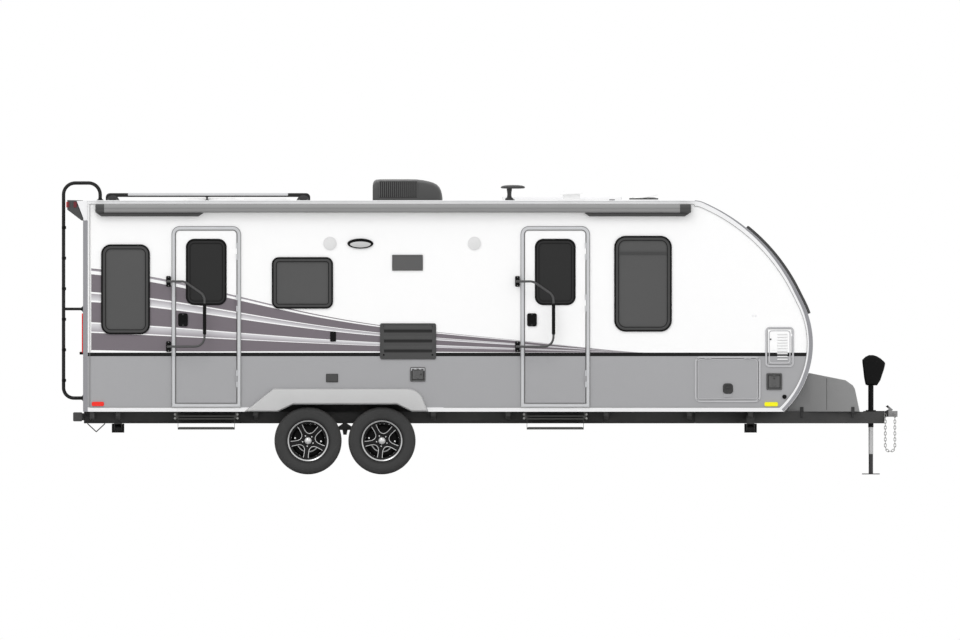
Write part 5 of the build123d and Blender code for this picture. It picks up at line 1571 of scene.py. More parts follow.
@dataclass
class Mouldings:
    """Grey and white lines round each side wall, the rear corner strips and the drip rails."""

    line: BodyLine = field(default_factory=BodyLine)
    corner_width: float = 0.047
    corner_top: float = 2.716
    band: tuple[float, float] = (0.008, 0.042)
    inner_line: float = 0.062
    bead: float = 0.0022
    face: float = 0.006
    fender_span: tuple[float, float] = (-2.53, -0.54)

    def headings(self, inset: float, low: float) -> np.ndarray:
        """Evenly spaced headings from the roof down to a height."""
        return np.linspace(0.0, self.line.last_heading(inset, low), 90)

    def nose_band(self) -> None:
        """Grey return of the nose skin on each side.

        Across it, its points go from the skin inwards by a width that grows with the heading from the
        first to the second number of band; it is 2.5 mm thick with a rounded inner edge.
        """
        piece = Piece("nose_side_bands", GREY_MOULDING, slot="edge_metal")
        headings = self.headings(0.0, self.line.skirt + 0.002)
        grow = np.clip((headings - 12) / 75, 0, 1)
        width = self.band[0] + (self.band[1] - self.band[0]) * grow * grow * (3 - 2 * grow)
        width = width * (1 - 0.3 * np.clip((headings - 110) / 30, 0, 1))
        shares = np.array([(0.002, -0.004), (0.002, 0.0015), (0.02, 0.0025), (0.93, 0.0025), (1.0, 0.001),
                           (1.0, -0.004)])
        grid = np.zeros((len(headings), len(shares), 3))
        for column, (share, out) in enumerate(shares):
            grid[:, column, [0, 2]] = self.line.nose(headings, width * share + 0.0005)
            grid[:, column, 1] = -self.line.half - self.face - out
        for side in Side:
            piece.grid(grid * [1, -side.value, 1], wrap_columns=True, cap_rows=True)
        piece.build()

    def outline(self, inset: float, rear: float, roof: float, skirt: float) -> np.ndarray:
        """Side view of the wall's panel edge: nose at an inset, straight lines elsewhere.

        Args:
            inset: Distance inside the nose's skin.
            rear: Distance in front of the rear wall.
            roof: Distance under the roof.
            skirt: Height over the walls' bottom edge.

        Returns:
            Rows of X and Z.
        """
        low = self.line.skirt + skirt
        nose = self.line.nose(self.headings(inset, low), inset)
        nose = nose[nose[:, 1] < self.line.roof - roof]
        start = [(self.line.rear + rear, low), (self.line.rear + rear, self.line.roof - roof)]
        across = np.column_stack([np.linspace(self.line.rear + rear + 0.02, nose[0, 0] - 0.02, 40),
                                  np.full(40, self.line.roof - roof)])
        back = np.column_stack([np.linspace(nose[-1, 0] - 0.02, self.line.rear + rear + 0.02, 40), np.full(40, low)])
        return np.vstack([start, across, nose, back])

    def panel_line(self) -> None:
        """Fine grey bead where each wall's panel meets the white moulding."""
        piece = Piece("panel_edge_beads", BEAD_GREY, slot="edge_metal")
        points = self.outline(self.inner_line, 0.070, 0.039, 0.045)
        r = self.bead
        section = np.array([(-r, -0.004), (-r, r * 0.6), (-r * 0.5, r), (r * 0.5, r), (r, r * 0.6), (r, -0.004)])
        path = np.column_stack([points[:, 0], np.full(len(points), -self.line.half - self.face), points[:, 1]])
        below = self.fender_gap(path)
        for side in Side:
            for run in below:
                piece.grid(sweep(run, section, (0, -1, 0)) * [1, -side.value, 1], wrap_columns=True, cap_rows=True)
        piece.build()

    def fender_gap(self, path: np.ndarray) -> list[np.ndarray]:
        """Cuts the lower run where the fender covers it.

        Args:
            path: The closed path round a wall's panel.

        Returns:
            The run before the fender and the run behind it.
        """
        low = path[:, 2] < self.line.skirt + 0.05
        covered = low & (path[:, 0] > self.fender_span[0]) & (path[:, 0] < self.fender_span[1])
        first, last = np.flatnonzero(covered)[[0, -1]]
        return [path[:first], np.vstack([path[last + 1:], path[:1]])]

    def corners(self) -> None:
        """Grey strips folded round the rear corners, with a rib on each flange."""
        piece = Piece("rear_corner_strips", GREY_MOULDING, slot="edge_metal")
        out, face = self.line.half + self.face, self.line.rear
        a, b, w = face - 0.0026, face - 0.0003, self.corner_width
        outline = np.array([(a, -out - 0.001), (a + 0.0012, -out - 0.0024), (face + w - 0.001, -out - 0.0024),
                            (face + w, -out - 0.001), (face + w, -out + 0.002), (b, -out + 0.002), (b, -1.168),
                            (a, -1.167)])
        for side in Side:
            shape = outline * [1, -side.value]
            piece.prism(shape, self.line.skirt + 0.001, self.corner_top, 2)
        piece.build()

    def drip_rails(self) -> None:
        """Slim rails along the roof's edges that end in a spout at each rear corner."""
        piece = Piece("drip_rails", PALE_MOULDING, slot="edge_metal")
        y, z = -self.line.half - self.face, self.line.roof
        section = np.array([(y + 0.003, z - 0.012), (y - 0.003, z - 0.013), (y - 0.0055, z - 0.010),
                            (y - 0.0055, z - 0.001), (y - 0.003, z + 0.001), (y - 0.0015, z - 0.002),
                            (y - 0.0015, z - 0.008), (y + 0.003, z - 0.008)])
        spout = np.array([(-4.232, -0.001), (-4.232, -0.012), (-4.222, -0.050), (-4.205, -0.064), (-4.196, -0.058),
                          (-4.206, -0.040), (-4.206, -0.001)])
        for side in Side:
            piece.prism(section * [-side.value, 1], self.line.rear + 0.012, self.line.shoulder_x, 0)
            piece.prism(spout + [0, z], -side.value * (y - 0.0005), -side.value * (y - 0.0105), 1, (0, 0, 0), 0.001)
        piece.build()

    def build(self) -> None:
        """Builds the mouldings."""
        self.nose_band()
        self.panel_line()
        self.corners()
        self.drip_rails()


def arched(width: float, height: float, radius: float, steps: int = 9) -> np.ndarray:
    """Closed outline with two round top corners and square bottom corners, anticlockwise.

    Args:
        width: Full width.
        height: Full height.
        radius: Radius of the top corners.
        steps: Points on each of them.

    Returns:
        Rows of X and Z round the middle.
    """
    right, left = arc(0, 90, steps), arc(90, 180, steps)
    x, z = width / 2, height / 2
    first = np.column_stack([x - radius + radius * np.cos(right), z - radius + radius * np.sin(right)])
    second = np.column_stack([-x + radius + radius * np.cos(left), z - radius + radius * np.sin(left)])
    down = np.linspace(z - radius - 0.05, -z + 0.02, 16)
    foot = np.linspace(-x + 0.02, x - 0.02, 10)
    sides = [np.column_stack([np.full(16, edge), run]) for edge, run in ((-x, down), (x, down[::-1]))]
    return np.vstack([first, second, sides[0], [(-x, -z)], np.column_stack([foot, np.full(10, -z)]), [(x, -z)],
                      sides[1]])


def bead(piece: Piece, outline: np.ndarray, x: float, z: float, out: float, half: float, rise: float,
         sides: tuple[Side, ...] = (Side.RIGHT,), sink: float = 0.002) -> None:
    """Adds a rounded bead along a closed outline on the side walls.

    Args:
        piece: The piece it belongs to.
        outline: Rows of X and Z round the middle.
        x: Middle's X.
        z: Middle's Z.
        out: Height of its seat in front of the wall's face.
        half: Half its width.
        rise: How far it stands out of its seat.
        sides: Walls that it lies on.
        sink: How far it reaches into its seat.
    """
    turn = arc(180, 0, 7)
    section = np.vstack([[(-half, -sink)], np.column_stack([half * np.cos(turn), rise * np.sin(turn)]),
                         [(half, -sink)]])
    path = np.column_stack([outline[:, 0] + x, np.full(len(outline), -BodyLine.half - out), outline[:, 1] + z])
    grid = sweep(path, section, (0, -1, 0), closed=True)
    for side in sides:
        piece.grid(grid * [1, -side.value, 1], wrap_rows=True, wrap_columns=True)


def raised(rings: list[tuple[np.ndarray, float]], spot: tuple[float, float, float]) -> np.ndarray:
    """Stacks outlines outwards from a spot on the right wall.

    Args:
        rings: Each outline's rows of X and Z, and its height over the spot.
        spot: Middle of the outlines on their seat.

    Returns:
        Grid of points with a row for each outline.
    """
    return np.stack([np.insert(ring, 1, -out, axis=1) for ring, out in rings]) + np.array(spot)


def screw(piece: Piece, x: float, z: float, out: float, radius: float = 0.006,
          sides: tuple[Side, ...] = (Side.RIGHT,)) -> None:
    """Adds a pan-head screw with a cross recess drawn in by two low points.

    Args:
        piece: The piece it belongs to.
        x: Its X.
        z: Its Z.
        out: Height of its seat in front of the wall.
        radius: Radius of its head.
        sides: Walls that it is on.
    """
    profile = np.array([(0, 0.45), (0.25, 0.50), (0.30, 0.62), (0.7, 0.50), (0.95, 0.28), (1.0, 0.0), (1.0, -0.3),
                        (0, -0.3)])
    for side in sides:
        grid = lathe(profile * radius * [1, -1], (x, -BodyLine.half - out, z), 1, 12)
        piece.grid(grid * [1, -side.value, 1], wrap_rows=True)


@dataclass
class SideWindows:
    """Black outer beads, rubber round the panes and the nose window's seal."""

    fixed: tuple[tuple[float, ...], ...] = (
        (-3.793, 1.980, 0.523, 0.963, 0.103), (-1.900, 2.049, 0.656, 0.552, 0.075), (1.744, 2.040, 0.617, 1.026, 0.122))
    frame: float = 0.050
    proud: float = 0.012
    doors: tuple[tuple[str, float], ...] = (("door_rear", -2.929), ("door_front", 0.805))
    door_window: tuple[float, float, float, float] = (2.1645, 0.437, 0.708, 0.091)
    door_frame: float = 0.046
    door_proud: float = 0.014
    nose_span: tuple[float, float] = (38.5, 71.1)
    nose_half: float = 0.800
    nose_proud: float = 0.027

    def build(self) -> None:
        """Builds the beads of every window."""
        outer = Piece("window_outer_beads", FRAME_EDGE, slot="dark_plastic")
        inner = Piece("window_pane_seals", FRAME_EDGE, slot="dark_plastic")
        for x, z, width, height, radius in self.fixed:
            bead(outer, rounded_outline(width - 0.019, height - 0.019, radius - 0.0095, 10), x, z, self.proud, 0.0095,
                 0.004, tuple(Side), 0.010)
            gap = 2 * self.frame - 0.004
            bead(inner, rounded_outline(width - gap, height - gap, radius - gap / 2, 10), x, z, self.proud, 0.0035,
                 0.0015, tuple(Side), 0.011)
        outer.build()
        inner.build()
        z, width, height, radius = self.door_window
        for name, x in self.doors:
            piece = Piece(f"{name}_window_beads", FRAME_EDGE, name, "dark_plastic")
            bead(piece, rounded_outline(width - 0.021, height - 0.021, radius - 0.0105, 10), x, z, self.door_proud,
                 0.0105, 0.004, sink=0.005)
            gap = 2 * self.door_frame - 0.004
            bead(piece, rounded_outline(width - gap, height - gap, radius - gap / 2, 10), x, z, self.door_proud, 0.0035,
                 0.0015, sink=0.006)
            piece.build()
        self.nose_seal()

    def nose_seal(self) -> None:
        """Rubber bead that follows the nose window's edge over the curved nose.

        Its path goes round a rounded rectangle whose upright direction is the heading of the nose, and
        whose crosswise direction is Y; the section stands square to the skin.
        """
        line = BodyLine()
        low, high = self.nose_span
        middle, half_turn = (low + high) / 2, (high - low) / 2 - 0.4
        ring = rounded_outline(2 * self.nose_half - 0.02, 2 * half_turn / 10, 0.12, 12)
        dense = []
        for start, end in zip(ring, np.roll(ring, -1, axis=0)):
            count = max(2, int(np.linalg.norm(end - start) / 0.05))
            dense.append(start + (end - start) * np.linspace(0, 1, count, endpoint=False)[:, None])
        flat = np.vstack(dense)
        headings = middle - flat[:, 1] * 10
        skin = line.nose(headings, -self.nose_proud)
        path = np.column_stack([skin[:, 0], flat[:, 0], skin[:, 1]])
        way = np.radians(headings)
        rise = np.column_stack([np.sin(way), np.zeros(len(way)), np.cos(way)])
        ahead = np.roll(path, -1, axis=0) - np.roll(path, 1, axis=0)
        ahead /= np.linalg.norm(ahead, axis=1, keepdims=True)
        side = np.cross(ahead, rise)
        turn = arc(180, 0, 7)
        section = np.vstack([[(-0.006, -0.003)], np.column_stack([0.006 * np.cos(turn), 0.0035 * np.sin(turn)]),
                             [(0.006, -0.003)]])
        grid = path[:, None] + section[None, :, :1] * side[:, None] + section[None, :, 1:] * rise[:, None]
        piece = Piece("nose_window_seal", FRAME_EDGE, slot="dark_plastic")
        piece.grid(grid, wrap_rows=True, wrap_columns=True)
        piece.build()


@dataclass
class EntryDoors:
    """Beads round the door frames, latches with locks, and the folding handles."""

    doors: tuple[tuple[str, float], ...] = (("door_rear", -2.929), ("door_front", 0.805))
    middle_z: float = 1.6855
    width: float = 0.744
    height: float = 1.941
    corner: float = 0.089
    flange: float = 0.044
    proud: float = 0.014
    latch_back: float = 0.249
    latch_z: float = 1.654
    pins: tuple[float, float] = (1.367, 2.065)
    pin_out: float = 0.075
    pin_back: float = 0.412
    tube: float = 0.0125
    reach: float = 0.060
    grip_back: float = 0.018
    grip_z: float = 1.663
    slope: tuple[float, float] = (0.235, 0.150)

    def frames(self) -> None:
        """Grey beads along both edges of each frame's flange."""
        piece = Piece("door_frame_beads", BEAD_GREY, slot="edge_metal")
        for _, x in self.doors:
            for inset in (0.0035, self.flange - 0.0035):
                outline = arched(self.width - 2 * inset, self.height - 2 * inset, self.corner - inset)
                bead(piece, outline, x, self.middle_z, self.proud, 0.0035, 0.003)
        piece.build()
        face = Piece("door_frame_faces", MOULDING, slot="edge_metal")
        for _, x in self.doors:
            inset = self.flange / 2
            outline = arched(self.width - 2 * inset, self.height - 2 * inset, self.corner - inset)
            bead(face, outline, x, self.middle_z, self.proud, 0.0135, 0.0018)
        face.build()

    def latches(self) -> None:
        """Black handle plate with a dished pull, a paddle and a lock on each leaf."""
        for name, x in self.doors:
            piece = Piece(f"{name}_latch", BLACK_PLASTIC, name, "dark_plastic")
            spot = (x - self.latch_back, -BodyLine.half - 0.008, self.latch_z)
            ring = rounded_outline(0.104, 0.142, 0.024, 8)
            hole = rounded_outline(0.058, 0.082, 0.014, 8)
            stations = [(ring, -0.001), (ring, 0.011), (ring * 0.96, 0.0145), (hole * 1.06, 0.0145), (hole, 0.0135),
                        (hole * 0.9, 0.0125)]
            piece.grid(raised(stations, spot), wrap_columns=True, cap_rows=True)
            paddle = rounded_outline(0.044, 0.050, 0.010, 6)
            piece.prism(paddle, -0.012, -0.0185, 1, (spot[0] + 0.002, spot[1], spot[2] + 0.008), 0.002)
            piece.build()
            lock = Piece(f"{name}_lock", LOCK_METAL, name, "zinc")
            barrel = np.array([(0, -0.0165), (0.0055, -0.0165), (0.0070, -0.0160), (0.0080, -0.0145), (0.0080, -0.010),
                               (0, -0.010)])
            lock.turned(barrel, (spot[0], spot[1], spot[2] + 0.058), 1, 20)
            lock.prism(rounded_outline(0.0018, 0.007, 0.0008, 3), -0.0162, -0.0170, 1,
                       (spot[0], spot[1], spot[2] + 0.058))
            lock.turned(barrel, (spot[0], spot[1], spot[2] - 0.058), 1, 20)
            lock.build()

    def handles(self) -> None:
        """Folding assist handles: a grey tube along a bent path, black grips and hinge barrels at its ends."""
        y = -BodyLine.half - self.pin_out
        low, high = self.pins
        for name, x in self.doors:
            place = name.split("_")[1]
            pin, grip, out = x - self.pin_back, x - self.grip_back, y - self.reach
            back, drop = self.slope
            corners = [(pin, y, high), (pin, out, high), (x - back, out, high), (grip, out, high - drop),
                       (grip, out, low), (pin, out, low), (pin, y, low)]
            bends = np.array([[0.030], [0.035], [0.060], [0.120], [0.030]])
            tube = Piece(f"grab_tube_{place}", HANDLE, f"grab_handle_{place}", "tube_black", (f"grab_handle_{place}",))
            line = smooth_path(corners, bends, 9)
            tube.grid(sweep(line, circle(self.tube, 14), (0.31, 0.27, 0.91)), wrap_columns=True, cap_rows=True)
            tube.build()
            ends = Piece(f"grab_grip_{place}", BLACK_PLASTIC, f"grab_handle_{place}", "tube_black",
                         (f"grab_handle_{place}",))
            ribs = [(0.0195 if step % 2 else 0.0182, -0.156 + step * 0.013) for step in range(25)]
            rows = [(0, -0.166), (0.016, -0.166), (0.0195, -0.160), *ribs, (0.0195, 0.160), (0.016, 0.166), (0, 0.166)]
            ends.turned(np.array(rows) * [1, -1], (grip, out, self.grip_z), 2, 24)
            barrel = np.array([(0.0056, -0.0195), (0.0115, -0.0195), (0.0128, -0.018), (0.0128, 0.018),
                               (0.0115, 0.0195), (0.0056, 0.0195)])
            for z in (low, high):
                ends.turned(barrel, (pin, y, z), 2, 24, hollow=True)
            ends.build()

    def build(self) -> None:
        """Builds the doors' trim."""
        self.frames()
        self.latches()
        self.handles()


@dataclass
class Hatches:
    """Frames' beads, latches, locks and louvre hoods of the hatches in the right wall."""

    baggage: tuple[float, ...] = (2.651, 1.018, 0.704, 0.491, 0.062)
    vented: tuple[float, ...] = (3.206, 1.364, 0.306, 0.429, 0.046)
    middle: tuple[float, ...] = (-0.666, 1.071, 0.164, 0.156, 0.014)
    nose: tuple[float, ...] = (3.148, 0.993, 0.169, 0.180, 0.014)
    flange: float = 0.020
    proud: float = 0.008
    louvres: int = 10
    pitch: float = 0.0299
    locks: tuple[tuple[str, float, float], ...] = (
        ("vented_hatch", 3.110, 1.446), ("middle_hatch", -0.632, 1.072), ("nose_hatch", 3.150, 1.028))
    lock_out: float = 0.014

    def frames(self) -> None:
        """Beads along the outer and inner edges of the frames."""
        pale = Piece("hatch_frame_beads", BEAD_PALE, slot="edge_metal")
        for x, z, width, height, radius in (self.baggage, self.vented):
            for inset in (0.003, self.flange - 0.003):
                bead(pale, rounded_outline(width - 2 * inset, height - 2 * inset, max(radius - inset, 0.004), 8), x, z,
                     self.proud, 0.003, 0.0024)
        pale.build()
        for body, (x, z, width, height, _), inset, half in (("vented_hatch", self.vented, 0.042, 0.0055),
                                                            ("baggage_door", self.baggage, 0.034, 0.0030)):
            ridge = Piece(f"{body}_ridge", BEAD_PALE, body, "door_skin")
            bead(ridge, rounded_outline(width - 2 * inset, height - 2 * inset, 0.030, 8), x, z, 0.004, half, 0.003)
            ridge.build()
        dark = Piece("small_hatch_frame_beads", GREY_HATCH, slot="dark_plastic")
        for x, z, width, height, radius in (self.middle, self.nose):
            bead(dark, rounded_outline(width - 0.010, height - 0.010, radius - 0.004, 6), x, z, self.proud, 0.005,
                 0.003)
        dark.build()

    def baggage_latch(self) -> None:
        """Black rounded latch with a dished middle and a finger pull."""
        x, z, *_ = self.baggage
        piece = Piece("baggage_latch", DARK_PLASTIC, "baggage_door", "dark_plastic")
        spot = np.array((x + 0.002, -BodyLine.half - 0.004, z - 0.100))
        ring = rounded_outline(0.108, 0.112, 0.034, 8)
        stations = ((1.0, 0.0), (1.0, 0.008), (0.95, 0.012), (0.72, 0.013), (0.66, 0.0105), (0.60, 0.0095))
        rings = [(ring * share, out) for share, out in stations]
        piece.grid(raised(rings, spot), wrap_columns=True, cap_rows=True)
        piece.prism(rounded_outline(0.056, 0.024, 0.010, 6), -0.009, -0.0165, 1, tuple(spot + [0, 0, 0.012]), 0.002)
        piece.build()
        self.lock("baggage_door", spot[0], spot[2] - 0.022, 0.017)

    def lock(self, body: str, x: float, z: float, out: float) -> None:
        """Adds a key lock: a turned barrel with a slot.

        Args:
            body: Hatch that it rides on.
            x: Its X.
            z: Its Z.
            out: Height of its face in front of the wall.
        """
        piece = Piece(f"{body}_lock", LOCK_METAL, body, "zinc")
        barrel = np.array([(0, -out), (0.005, -out), (0.007, -out + 0.001), (0.0085, -out + 0.003), (0.0085, -0.003),
                           (0, -0.003)])
        piece.turned(barrel, (x, -BodyLine.half, z), 1, 24)
        piece.prism(rounded_outline(0.002, 0.010, 0.0009, 3), -out + 0.0004, -out - 0.0006, 1, (x, -BodyLine.half, z))
        piece.build()

    def hoods(self) -> None:
        """Louvre hoods: each is a half barrel whose depth swells from its upper to its lower edge."""
        x, z, _, _, _ = self.vented
        piece = Piece("vented_hatch_hoods", WHITE_PLASTIC, "vented_hatch", "white_plastic")
        u, v = np.linspace(-1, 1, 15)[:, None], np.linspace(0, 1, 8)[None, :]
        for number in range(self.louvres):
            level = z + (number - (self.louvres - 1) / 2) * self.pitch
            grid = np.zeros((15, 8, 3))
            grid[..., 0] = x + 0.030 + u * 0.058
            grid[..., 1] = -BodyLine.half - 0.0035 - 0.0055 * np.sin(v * math.pi / 2) * (1 - u ** 6)
            grid[..., 2] = level + 0.009 - 0.012 * v
            back = grid.copy()
            back[..., 1] += 0.0016
            piece.slab(grid, back)
        piece.build()

    def build(self) -> None:
        """Builds the hatches' trim."""
        self.frames()
        self.baggage_latch()
        self.hoods()
        for body, x, z in self.locks:
            self.lock(body, x, z, self.lock_out)


@dataclass
class WallFittings:
    """Speakers, porch light, receptacle lids, handle brackets, round inlet and louvred panels."""

    speakers: tuple[tuple[float, float], ...] = ((-1.606, 2.473), (-0.060, 2.473))
    light: tuple[float, float] = (-1.280, 2.470)
    light_radii: tuple[float, float] = (0.139, 0.054)
    lids: tuple[tuple[float, ...], ...] = ((-1.572, 1.474, 0.063, 0.107), (-1.583, 1.031, 0.130, 0.092))
    doors: tuple[float, ...] = (-2.929, 0.805)
    pins: tuple[float, float] = (2.065, 1.367)
    pin_out: float = 0.075
    panels: tuple[tuple[Side, float, float, float, float, int], ...] = (
        (Side.RIGHT, -0.776, 2.265, 0.329, 0.170, 0), (Side.RIGHT, -0.770, 1.424, 0.601, 0.386, 3),
        (Side.LEFT, -1.300, 1.424, 0.601, 0.386, 3), (Side.LEFT, 0.900, 1.500, 0.440, 0.380, 5))
    bracket_back: float = 0.404
    pin_back: float = 0.412
    ear_half: float = 0.013
    inlet_at: tuple[float, float] = (3.258, 0.830)
    plugs_at: tuple[tuple[float, float], ...] = ((2.918, 1.700), (2.952, 1.700))

    def domes(self) -> None:
        """White speakers: a low dome inside a rounded rim, turned about Y, with rings of small ribs."""
        piece = Piece("wall_speakers", SPEAKER, slot="white_plastic", replaces=("side_fittings",))
        profile = [(0.0, 0.0200)]
        for number in range(12):
            r = 0.004 + number * 0.0045
            height = 0.0200 - 0.0065 * (r / 0.058) ** 2
            profile += [(r, height), (r + 0.0022, height - 0.0012)]
        profile += [(0.0590, 0.0110), (0.0610, 0.0140), (0.0650, 0.0145), (0.0690, 0.0125), (0.0710, 0.0080),
                    (0.0710, 0.0), (0.0, 0.0)]
        for x, z in self.speakers:
            rows = np.array(profile) * [1, -1]
            piece.turned(rows, (x, -BodyLine.half, z), 1, 56)
        piece.build()

    def porch_light(self) -> None:
        """Oval light: dark rounded rim and a domed pale lens with fine ribs.

        Both are rings of an ellipse whose size and depth follow a profile of share and height.
        """
        x, z = self.light
        angle = np.arange(64) * 2 * math.pi / 64
        for name, finish, rows in (("porch_light_rim", BLACK_PLASTIC, ((1.0, 0.0), (1.0, 0.010), (0.97, 0.016),
                                                                       (0.90, 0.020), (0.80, 0.021), (0.74, 0.018),
                                                                       (0.72, 0.012), (0.72, 0.004))),
                                   ("porch_light_lens", LAMP_LENS, ((0.80, 0.008), (0.80, 0.019), (0.70, 0.0215),
                                                                    (0.55, 0.0235), (0.35, 0.0265), (0.15, 0.0278),
                                                                    (0.02, 0.0280)))):
            piece = Piece(name, finish, slot="dark_plastic" if finish is BLACK_PLASTIC else "white_plastic",
                          replaces=("side_fittings",))
            grid = np.zeros((len(rows), 64, 3))
            for row, (share, out) in enumerate(rows):
                grid[row, :, 0] = x + np.cos(angle) * (self.light_radii[0] - (1 - share) * 0.10)
                drop, squeeze = (0.011, 0.76) if finish is LAMP_LENS else (0.0, 1.0)
                grid[row, :, 2] = z - drop + np.sin(angle) * (self.light_radii[1] * share * squeeze)
                grid[row, :, 1] = -BodyLine.half - out
            if name.endswith("lens"):
                grid[..., 0] = x + (grid[..., 0] - x) * np.linspace(1.0, 0.3, len(rows))[:, None] ** 0.6
            piece.grid(grid, wrap_columns=True, cap_rows=True)
            piece.build()

    def covers(self) -> None:
        """Hinged lids over the receptacles: base, lid with a rounded edge, a hinge roll and a thumb tab."""
        for number, (finish, (x, z, width, height)) in enumerate(zip((BLACK_PLASTIC, VENT_DARK), self.lids)):
            piece = Piece(f"receptacle_cover_{number + 1}", finish, slot="dark_plastic", replaces=("side_fittings",))
            spot = (x, -BodyLine.half, z)
            piece.prism(rounded_outline(width, height, 0.008), 0.0, -0.006, 1, spot, 0.0012)
            piece.prism(rounded_outline(width - 0.012, height - 0.016, 0.008), -0.005, -0.0125, 1, spot, 0.002)
            roll = np.column_stack([np.array([0, 0.0042, 0.0050, 0.0050, 0.0042, 0]),
                                    np.array([-1, -1, -0.9, 0.9, 1, 1]) * (width * 0.36)])
            piece.turned(roll, (x, -BodyLine.half - 0.008, z + height / 2 - 0.007), 0, 14)
            piece.prism(rounded_outline(width * 0.3, 0.008, 0.003), -0.011, -0.0165, 1,
                        (x, spot[1], z - height / 2 + 0.013), 0.001)
            piece.build()

    def brackets(self) -> None:
        """Black brackets of the folding handles: plate, two ears and a pin with a head."""
        piece = Piece("handle_brackets", BLACK_PLASTIC, slot="tube_black", replaces=("side_fittings",))
        screws = Piece("handle_bracket_screws", ZINC, slot="zinc")
        for door in self.doors:
            for z in self.pins:
                x = door - self.bracket_back
                piece.prism(rounded_outline(0.052, 0.116, 0.014), 0.0, -0.0075, 1, (x, -BodyLine.half, z), 0.0018)
                pin, ear, turn = door - self.pin_back, self.ear_half, arc(190, 350, 12)
                for way in (-1, 1):
                    tip = np.column_stack([ear * np.cos(turn), -self.pin_out + ear * np.sin(turn)])
                    outline = np.vstack([[(ear, 0.0), (-ear, 0.0), (-ear, -self.pin_out)], tip, [(ear, -self.pin_out)]])
                    low = z + way * 0.025 - 0.004
                    piece.prism(outline, low, low + 0.008, 2, (pin, -BodyLine.half, 0.0), 0.0012)
                head = np.array([(0, 0.0345), (0.006, 0.0345), (0.0078, 0.033), (0.0078, 0.0285), (0.005, 0.0285),
                                 (0.005, -0.0285), (0.0078, -0.0285), (0.0078, -0.033), (0.006, -0.0345), (0, -0.0345)])
                piece.turned(head, (pin, -BodyLine.half - self.pin_out, z), 2, 20)
                for way in (-1, 1):
                    screw(screws, x, z + way * 0.046, 0.0075, 0.0055)
        piece.build()
        screws.build()

    def louvres(self) -> None:
        """Vent panels: a dished frame, and hoods that swell outwards above dark strips of painted shade.

        A hood's section rises from the face as a quarter of a sine down to its lip, and is carried along X.
        """
        screws = Piece("louvre_screws", FRAME_EDGE, slot="dark_plastic", replaces=("side_vents",))
        shade_strips = Piece("louvre_gaps", LOUVRE_SHADE, slot="dark_plastic", replaces=("side_vents",))
        plate = Piece("plain_vent_panel", VENT_GREY, slot="dark_plastic", replaces=("side_vents",))
        louvred = Piece("louvre_panels", VENT_DARK, slot="dark_plastic", replaces=("side_vents",))
        for side, x, z, width, height, rows in self.panels:
            mirror = np.array([1, -side.value, 1])
            piece = louvred if rows else plate
            ring = rounded_outline(width, height, 0.022 if rows else 0.006, 8)
            stations = ((0.0, 0.0), (0.0, 0.010), (0.002, 0.012), (0.012, 0.012), (0.015, 0.009), (0.020, 0.009))
            rings = [(ring * (1 - 2 * inset / np.array([width, height])), out) for inset, out in stations]
            piece.grid(raised(rings, (x, -BodyLine.half, z)) * mirror, wrap_columns=True, cap_rows=True)
            half = width / 2 - 0.042
            for number in range(rows):
                pitch = (height - 0.066) / rows
                level = z + height / 2 - 0.033 - (number + 0.45) * pitch
                share = np.linspace(0, 1, 7)
                front = np.column_stack([-0.0088 - 0.0062 * np.sin(share * math.pi / 2), pitch * (0.50 - 0.36 * share)])
                section = np.vstack([front, [(-0.0130, pitch * 0.13), (-0.0080, pitch * 0.30)]])
                hood = np.zeros((2, len(section), 3))
                hood[:, :, 0] = x + np.array([-half, half])[:, None]
                hood[:, :, 1] = -BodyLine.half + section[:, 0]
                hood[:, :, 2] = level + section[:, 1]
                piece.grid(hood * mirror, wrap_columns=True, cap_rows=True)
                # Painted shade: a dark strip under each hood stands for the shade in the gap.
                shade_strips.prism(rounded_outline(2 * half, pitch * 0.32, 0.005), side.value * (BodyLine.half + 0.006),
                           side.value * (BodyLine.half + 0.0097), 1, (x, 0, level - pitch * 0.01))
            for way in (-1, 1):
                if rows:
                    screw(screws, x + way * (width / 2 - 0.040), z - height / 2 + 0.048, 0.009, 0.010, (side,))
                    screw(screws, x + way * (width / 2 - 0.040), z + height / 2 - 0.030, 0.009, 0.005, (side,))
        for piece in (louvred, plate, shade_strips, screws):
            piece.build()

    def inlet(self) -> None:
        """Round inlet with a cap beside the nose hatch, and two small plugs above the belt line."""
        piece = Piece("round_inlet", BLACK_PLASTIC, slot="dark_plastic")
        profile = np.array([(0, -0.012), (0.010, -0.012), (0.0125, -0.0095), (0.0165, -0.009), (0.0195, -0.0115),
                            (0.0225, -0.010), (0.0235, -0.006), (0.0235, 0.001), (0, 0.001)])
        piece.turned(profile, (self.inlet_at[0], -BodyLine.half, self.inlet_at[1]), 1, 32)
        piece.build()
        plugs = Piece("wall_plugs", PALE_MOULDING, slot="white_plastic")
        plug = np.array([(0, -0.004), (0.008, -0.0035), (0.012, -0.002), (0.013, 0.0), (0.013, 0.001), (0, 0.001)])
        for x, z in self.plugs_at:
            plugs.turned(plug, (x, -BodyLine.half, z), 1, 20)
        plugs.build()

    def build(self) -> None:
        """Builds the fittings on the walls."""
        self.domes()
        self.porch_light()
        self.covers()
        self.brackets()
        self.louvres()
        self.inlet()


